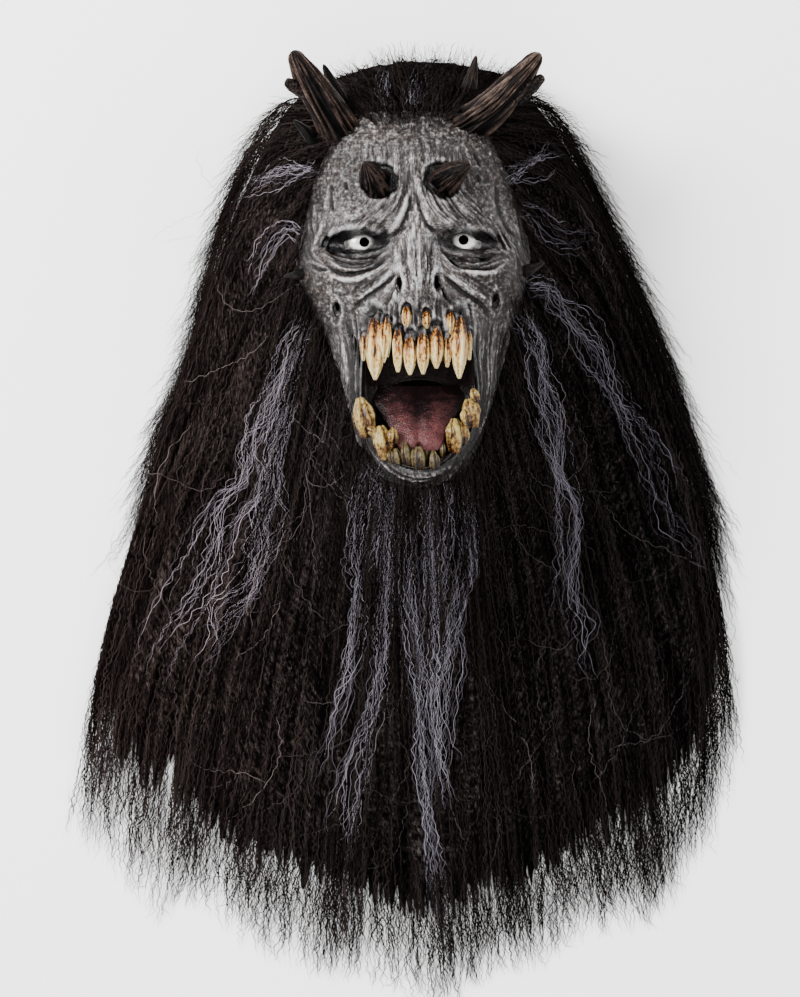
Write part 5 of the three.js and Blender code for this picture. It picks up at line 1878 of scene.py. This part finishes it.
STREAKS = (
    Streak(((309, 320), (293, 360), (274, 409), (258, 441), (253, 481), (231, 521), (210, 575),
            (175, 636), (151, 687)), 8.0, 26),
    Streak(((290, 400), (277, 454), (274, 508), (261, 548), (245, 596), (221, 636), (199, 676)),
           8.5, 20),
    Streak(((317, 168), (294, 174), (269, 181), (232, 190)), 6.5, 16),
    Streak(((303, 234), (287, 229), (273, 243), (259, 270), (246, 295)), 4.5, 10),
    Streak(((392, 112), (388, 92), (382, 60)), 4.5, 9),
    Streak(((415, 112), (423, 90), (430, 60)), 5.5, 10),
    Streak(((508, 183), (526, 171), (546, 159), (565, 151)), 6.0, 13),
    Streak(((518, 212), (534, 216), (551, 236), (575, 246), (604, 242)), 6.0, 9),
    Streak(((516, 315), (535, 342), (543, 382), (554, 419), (562, 467), (566, 508), (564, 561),
            (571, 615), (583, 655), (602, 692)), 7.0, 20),
    Streak(((527, 288), (548, 288), (564, 309), (591, 347), (612, 392), (645, 446), (671, 500),
            (693, 537), (712, 588)), 8.0, 15),
    Streak(((365, 458), (356, 529), (356, 600), (347, 667), (333, 717), (319, 795)), 7.0, 15),
    Streak(((390, 504), (387, 582), (376, 689), (358, 777), (344, 866), (326, 937)), 7.0, 17),
    Streak(((404, 511), (411, 618), (418, 689), (422, 760), (433, 848), (447, 937), (465, 973)),
           5.5, 19),
    Streak(((433, 511), (436, 618), (433, 724), (443, 813)), 5.0, 12),
    Streak(((372, 462), (369, 492), (364, 530), (360, 565)), 9.0, 12),
    Streak(((392, 484), (388, 515), (382, 560), (378, 600)), 9.0, 12),
    Streak(((424, 490), (428, 525), (431, 575), (430, 620)), 10.0, 14),
    Streak(((455, 482), (457, 515), (455, 560), (452, 600)), 8.0, 12),
    Streak(((468, 486), (472, 547), (461, 600), (450, 671), (445, 742), (443, 831)), 7.0, 18),
)


class Hair:
    """All the hair: packed masses, dark strands over them and grey streaks."""

    CAMERA = (-4.5, 20.0, 3000.0)
    SIDES, ENDS = 236.0, (-340.0, 322.0)
    PHOTO_MIDDLE = (400.0, 498.5)
    REFERENCE = 195.0
    LOWEST = 1.0

    def __init__(self, skull: Skull) -> None:
        """Set up the sheets."""
        side = [spline(guide, np.array([0, 0.5, 1]) * CROWN_SIDE_SHARE)
                for guide in (LEFT_GUIDES[0], RIGHT_GUIDES[-1])]
        crown = [side[0], *CROWN_GUIDES, side[1]]
        self.left = Sheet("hair_left", LEFT_GUIDES, SheetStyle((66, 100), 44, 5, Edge.FIRST),
                          skull, 61)
        self.beard = Sheet("hair_beard", BEARD_GUIDES,
                           SheetStyle((100, 100), 44, 5, Edge.NONE, columns=130), skull, 71)
        self.right = Sheet("hair_right", RIGHT_GUIDES, SheetStyle((100, 66), 44, 5, Edge.LAST),
                           skull, 81)
        self.crown = Sheet("hair_crown", crown,
                           SheetStyle((46, 46), 36, 6, Edge.NONE, True, 110, 56), skull, 91)
        self.sheets = (self.left, self.beard, self.right, self.crown)
        self.ground: BVHTree | None = None
        self.random = np.random.default_rng(SEED + 1)
        self.uniform, self.normal = self.random.uniform, self.random.normal

    def lay_on(self, things: Sequence[Object]) -> None:
        """Keep what the streaks and stray strands are draped over."""
        whole = bmesh.new()
        for thing in things:
            whole.from_mesh(thing.data)
        self.ground = BVHTree.FromBMesh(whole)
        whole.free()

    def _wander(self, count: int, keys: int, size: float) -> Points:
        """Smooth random drift along a strand."""
        return spline(self.normal(0, size, keys)[:, None], shares(count))[:, 0]

    def _strand(self, sheet: Sheet, s: float, start: float, end: float, lift: float) -> Points:
        """One strand that wanders along a sheet."""
        count = max(7, int(26 * (end - start)) + 5)
        across = s + self._wander(count, 4, 0.014) * np.linspace(0.2, 1.5, count)
        across = across + self._wander(count, 9, 0.006)
        rise = lift * (0.3 + 0.7 * np.sin(np.pi * np.linspace(0.03, 0.97, count)))
        rise = rise + self.normal(0, 0.9, count)
        inside = np.clip(across, 0, 1)
        path = sheet.point(inside, np.linspace(start, end, count), rise)
        path[:, 0] += (across - inside) * 120
        path[:, 2] = np.maximum(path[:, 2], self.LOWEST)
        return path

    def _across(self, sheet: Sheet) -> float:
        """Random place across a sheet, more often toward its outside edge."""
        near = abs(self.normal(0, 0.055))
        if sheet.style.edge is Edge.NONE or self.random.random() < 0.66:
            return self.uniform(0, 1)
        return near if sheet.style.edge is Edge.FIRST else 1 - near

    def _shade(self) -> float:
        """Random shade, mostly dark."""
        return self.random.random() ** 2.4

    def dark(self, sheet: Sheet, count: int) -> Strands:
        """Long dark strands over one sheet, some of them rooted over the edge of the skin."""
        strands = Strands()
        inward = 0.16 if sheet.style.crown else 0.016
        for _ in range(count):
            at_root = self.random.random() < 0.45
            start = self.uniform(-inward, 0.02) if at_root else self.uniform(0.02, 0.6)
            end = min(self.uniform(0.8, 1.05), start + self.uniform(0.3, 0.85))
            path = self._strand(sheet, self._across(sheet), start, end, self.uniform(0.5, 5.0))
            if at_root:
                path[:2, 2] -= (3.5, 1.5)
            strands.add(path, self._shade(), self.uniform(0.6, 1.15))
        return strands

    def tips(self, count: int) -> Strands:
        """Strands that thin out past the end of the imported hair."""
        strands = Strands()
        for k in range(count):
            sheet = self.sheets[TIP_ORDER[k % len(TIP_ORDER)]]
            path = self._strand(sheet, self.uniform(0.0, 1.0), self.uniform(0.72, 0.86),
                                self.uniform(0.90, 1.035), self.uniform(0.0, 3.0))
            path[:, 0] += shares(len(path)) ** 2 * self.normal(0, 4)
            strands.add(path, self._shade(), self.uniform(0.5, 1.0))
        return strands

    def roots(self, count: int) -> Strands:
        """Short strands that break up the line where the hair leaves the skin."""
        strands = Strands()
        for k in range(count):
            sheet = self.sheets[k % 4]
            back, reach = (0.34, (0.05, 0.6)) if sheet.style.crown else (0.032, (0.04, 0.15))
            start, end = -self.uniform(0, back), self.uniform(*reach)
            path = self._strand(sheet, self.uniform(0, 1), start, end, self.uniform(-1.0, 2.0))
            path[:, 2] -= 3.6 * shares(len(path))[::-1] ** 2
            path[:, :2] += shares(len(path))[:, None] ** 2 * self.normal(0, 5, 2)
            strands.add(path, self._shade(), self.uniform(0.45, 0.85))
        return strands

    def loose(self, count: int) -> Strands:
        """Strands that stand off the outline of the hair and hang past its tips."""
        strands = Strands()
        bow = shares(9) ** 1.4
        for _ in range(count):
            pick, near = self.random.random(), abs(self.normal(0, 0.03))
            starts, lengths, last = (0.03, 0.9), (0.07, 0.2), 1.0
            if pick < 0.37:
                sheet, s, turn = self.left, near, -1.0
            elif pick < 0.74:
                sheet, s, turn = self.right, 1 - near, 1.0
            else:
                sheet, s, turn = self.crown, self.uniform(0, 1), 0.0
                starts, lengths, last = (0.4, 0.9), (0.2, 0.55), 1.1
            start = self.uniform(*starts)
            t = np.linspace(start, min(start + self.uniform(*lengths), last), 9)
            path = sheet.point(s, t, self.uniform(-8, 5))
            path[:, 0] += (turn * self.uniform(0, 15) + self.normal(0, 4.0)) * bow
            path[:, 1] += bow * self.uniform(-3, 9)
            path[:, 2] = np.maximum(path[:, 2] + bow * self.uniform(-6, 6), self.LOWEST)
            strands.add(path, self._shade(), self.uniform(0.4, 0.8))
        return strands

    def stray(self, count: int) -> Strands:
        """Single pale strands that curl across the others."""
        strands = Strands()
        for k in range(count):
            s, t = self.uniform(0.05, 0.95), self.uniform(0.05, 0.8)
            start, after = self.sheets[k % 3].flat(s, np.array([t, t + 0.02]))
            heading = math.atan2(*(after - start)[::-1]) + self.normal(0, 0.22)
            steps = int(self.uniform(10, 26))
            bend = self._wander(steps, 4, 0.11) + self.normal(0, 0.02)
            angle = heading + np.cumsum(bend)
            moves = np.column_stack([np.cos(angle), np.sin(angle)]) * 4.5
            flat = start + np.cumsum(moves, axis=0)
            inside = np.abs(flat[:, 0]) < self.SIDES
            inside &= (flat[:, 1] > self.ENDS[0]) & (flat[:, 1] < self.ENDS[1])
            flat = flat[:int(np.argmin([*inside, False]))]
            if len(flat) >= 6:
                strands.add(self._drape(flat, self.uniform(1.5, 4.0)), self.uniform(0.0, 0.75),
                            self.uniform(0.5, 0.8))
        return strands

    def _photo_to_plane(self, pixel: Points, z: Number) -> Points:
        """Row-frame place of pixel readings at height z."""
        scale = PHOTO_SCALE * (self.CAMERA[2] - z) / (self.CAMERA[2] - self.REFERENCE)
        away = (pixel - self.PHOTO_MIDDLE) * (1, -1)
        return away * np.reshape(scale, (-1, 1)) + self.CAMERA[:2]

    def _drape(self, flat: Points, lift: float) -> Points:
        """Path laid over what is below it."""
        heights = []
        for x, y in flat:
            hit = self.ground.ray_cast(Vector((x * MM, y * MM, 1.0)), Vector((0, 0, -1)))[0]
            heights.append((hit.z / MM if hit else 4.0) + lift)
        z = np.array(heights)
        kernel = np.array([1, 2, 3, 2, 1]) / 9
        z = np.maximum(z, np.convolve(np.pad(z, 2, mode="edge"), kernel, mode="valid"))
        return np.column_stack([flat, z])

    def grey(self, share: float = 1.35) -> Strands:
        """Grey strands along the streaks."""
        strands = Strands()
        for streak in STREAKS:
            line = np.array(streak.line, float)
            short = len(line) < 6
            keys = 3 if short else len(line) + 2
            strings = self.normal(0, 0.55, (5, keys)) + self.normal(0, 0.5, (5, 1))
            for k in range(int(streak.count * share)):
                start = self.uniform(0, 0.35) ** 2 if k % 3 else 0.0
                end = 1 - self.uniform(0, 0.5) ** 1.3
                count = max(12, int(len(line) * 3.6 * (end - start)))
                t = np.linspace(start, end, count)
                pixel = spline(line, t)
                level = self._drape(self._photo_to_plane(pixel, 80.0), 0.0)[:, 2]
                flat = self._photo_to_plane(pixel, level)
                side = unit(np.gradient(flat, axis=0)[:, ::-1] * (-1, 1))
                wander = spline(strings[k % 5][:, None], t)[:, 0]
                wander = wander + self._wander(count, 3 if short else 7, 0.27 if k % 3 else 0.55)
                wander = wander * np.linspace(0.75, 1.35, count) * streak.width
                strands.add(self._drape(flat + side * wander[:, None], self.uniform(0.6, 3.6)),
                            self.random.random() ** 1.2, self.uniform(0.6, 1.1))
        return strands

    def build(self, casting: Object) -> None:
        """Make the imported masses, then every kind of strand over them."""
        packed = HairMassFinish().build()
        masses = []
        for sheet in self.sheets:
            masses.append(sheet.mass().to_object(sheet.name + "_mass", packed))
            finish_piece(masses[-1], Slot.HAIR, sheet.name)
        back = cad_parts["hair_back"].data.materials
        back.clear()
        back.append(packed)
        self.lay_on([*masses, casting])
        tree = StrandTree()
        dark, pale, grey = DARK.build(), PALE.build(), GREY.build()
        for sheet, count in zip(self.sheets, (340, 260, 340, 420)):
            size = StrandSize(0.0026, 0.0080, 0.0009, 0.00044, 1)
            piece = tree.apply(sheet.name + "_strands", self.dark(sheet, count), size, dark)
            finish_piece(piece, Slot.HAIR)
        for name, make, count, size, paint in (
            ("hair_loose", self.loose, 2150, (0.0025, 0.0085, 0.0010, 0.00044, 2), dark),
            ("hair_tips", self.tips, 2350, (0.0025, 0.0085, 0.0010, 0.00058, 2), dark),
            ("hair_roots", self.roots, 1000, (0.0023, 0.0085, 0.0010, 0.00042, 4), dark),
            ("hair_stray", self.stray, 110, (0.0023, 0.012, 0.0010, 0.00030, 5), pale),
        ):
            finish_piece(tree.apply(name, make(count), StrandSize(*size), paint), Slot.HAIR)
        size = StrandSize(0.0034, 0.0160, 0.0014, 0.00025, 3)
        finish_piece(tree.apply("hair_streaks", self.grey(), size, grey), Slot.GREY_HAIR)


class Studio:
    """Floor, light and camera."""

    AIM = Vector((0, 0.1, 0.1))
    LAMPS = {"key": ((-1.5, 0.9, 1.9), 165.0, 0.9), "fill": ((1.5, 0.5, 1.7), 18.0, 1.2),
             "front": ((0.0, -1.0, 2.6), 36.0, 1.6)}

    def build(self) -> None:
        """Set up everything that isn't the mask."""
        mesh = bpy.data.meshes.new("floor")
        mesh.from_pydata([(-6, -6, 0), (6, -6, 0), (6, 6, 0), (-6, 6, 0)], [], [(0, 1, 2, 3)])
        mesh.materials.append(Paint("floor").surface((0.96, 0.96, 0.96, 1.0), 0.9))
        add_object("floor", mesh)
        for name, (place, power, size) in self.LAMPS.items():
            self.lamp(name, Vector(place), power, size)
        world = bpy.data.worlds.new("studio")
        world.use_nodes = True
        background = world.node_tree.nodes["Background"]
        background.inputs[0].default_value = (1, 1, 1, 1)
        background.inputs[1].default_value = 1.45
        bpy.context.scene.world = world
        self.camera()

    def lamp(self, name: str, place: Vector, power: float, size: float) -> None:
        """Square lamp that points at the mask."""
        data = bpy.data.lights.new(name, "AREA")
        data.energy, data.size = power, size
        lamp = add_object(name, data)
        lamp.location = place
        lamp.rotation_euler = (self.AIM - place).to_track_quat("-Z", "Y").to_euler()

    @staticmethod
    def camera() -> None:
        """Camera that looks straight down on the face, as in the photograph."""
        data = bpy.data.cameras.new("camera")
        data.sensor_width = 36.0
        data.lens = 36.0 * (Hair.CAMERA[2] - Hair.REFERENCE) * MM / (0.997 * PHOTO_SCALE)
        data.clip_end = 20.0
        camera = add_object("camera", data)
        camera.location = tuple(value * MM for value in Hair.CAMERA)
        bpy.context.scene.camera = camera


def main() -> None:
    """Build every piece in order."""
    logging.basicConfig(level=logging.INFO, format="%(message)s")
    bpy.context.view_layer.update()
    skull = Skull()
    head = Head(skull, FaceRelief())
    casting = head.build(SkinFinish().build(), InsideFinish().build())
    finish_piece(casting, Slot.SKIN, "mask_head")
    dull = LiningFinish("mouth_lining", 0.06, 0.5).build()
    wet = LiningFinish("mouth_wet", 0.5, 0.2).build()
    finish_piece(head.lining(dull, wet), Slot.LINING)

    mouth = Mouth(skull)
    tongue = mouth.tongue().to_object("tongue_shape", TongueFinish().build())
    finish_piece(tongue, Slot.TONGUE, "tongue")
    cream, amber, olive = CREAM.build(), AMBER.build(), OLIVE.build()
    teeth = [("upper", i, tooth, i, cream) for i, tooth in enumerate(UPPER_TEETH, 1)]
    teeth += [("lower", i, tooth, 30 + i, olive if 3 <= i <= 9 else amber)
              for i, tooth in enumerate(LOWER_TEETH, 1)]
    for row, i, tooth, seed, paint in teeth:
        name = f"fang_{row}_{i}"
        finish_piece(mouth.lobed(name, tooth, seed).to_object(name, paint), Slot.TOOTH,
                     f"{row}_tooth_{i}")
    white = EyeFinish().build()
    for side, centre, hole in zip(("left", "right"), EYE_CENTRES, EYE_HOLES):
        finish_piece(Eye(*centre, hole).build(f"eyeball_{side}", white), Slot.EYE, f"eye_{side}")
    bark = HornFinish().build()
    for seed, (name, shape) in enumerate(HORNS.items()):
        finish_piece(Horn(name, shape, 3 * seed + 5).build(bark), Slot.HORN, name)
    Hair(skull).build(casting)
    Studio().build()


if __name__ == "__main__":
    main()
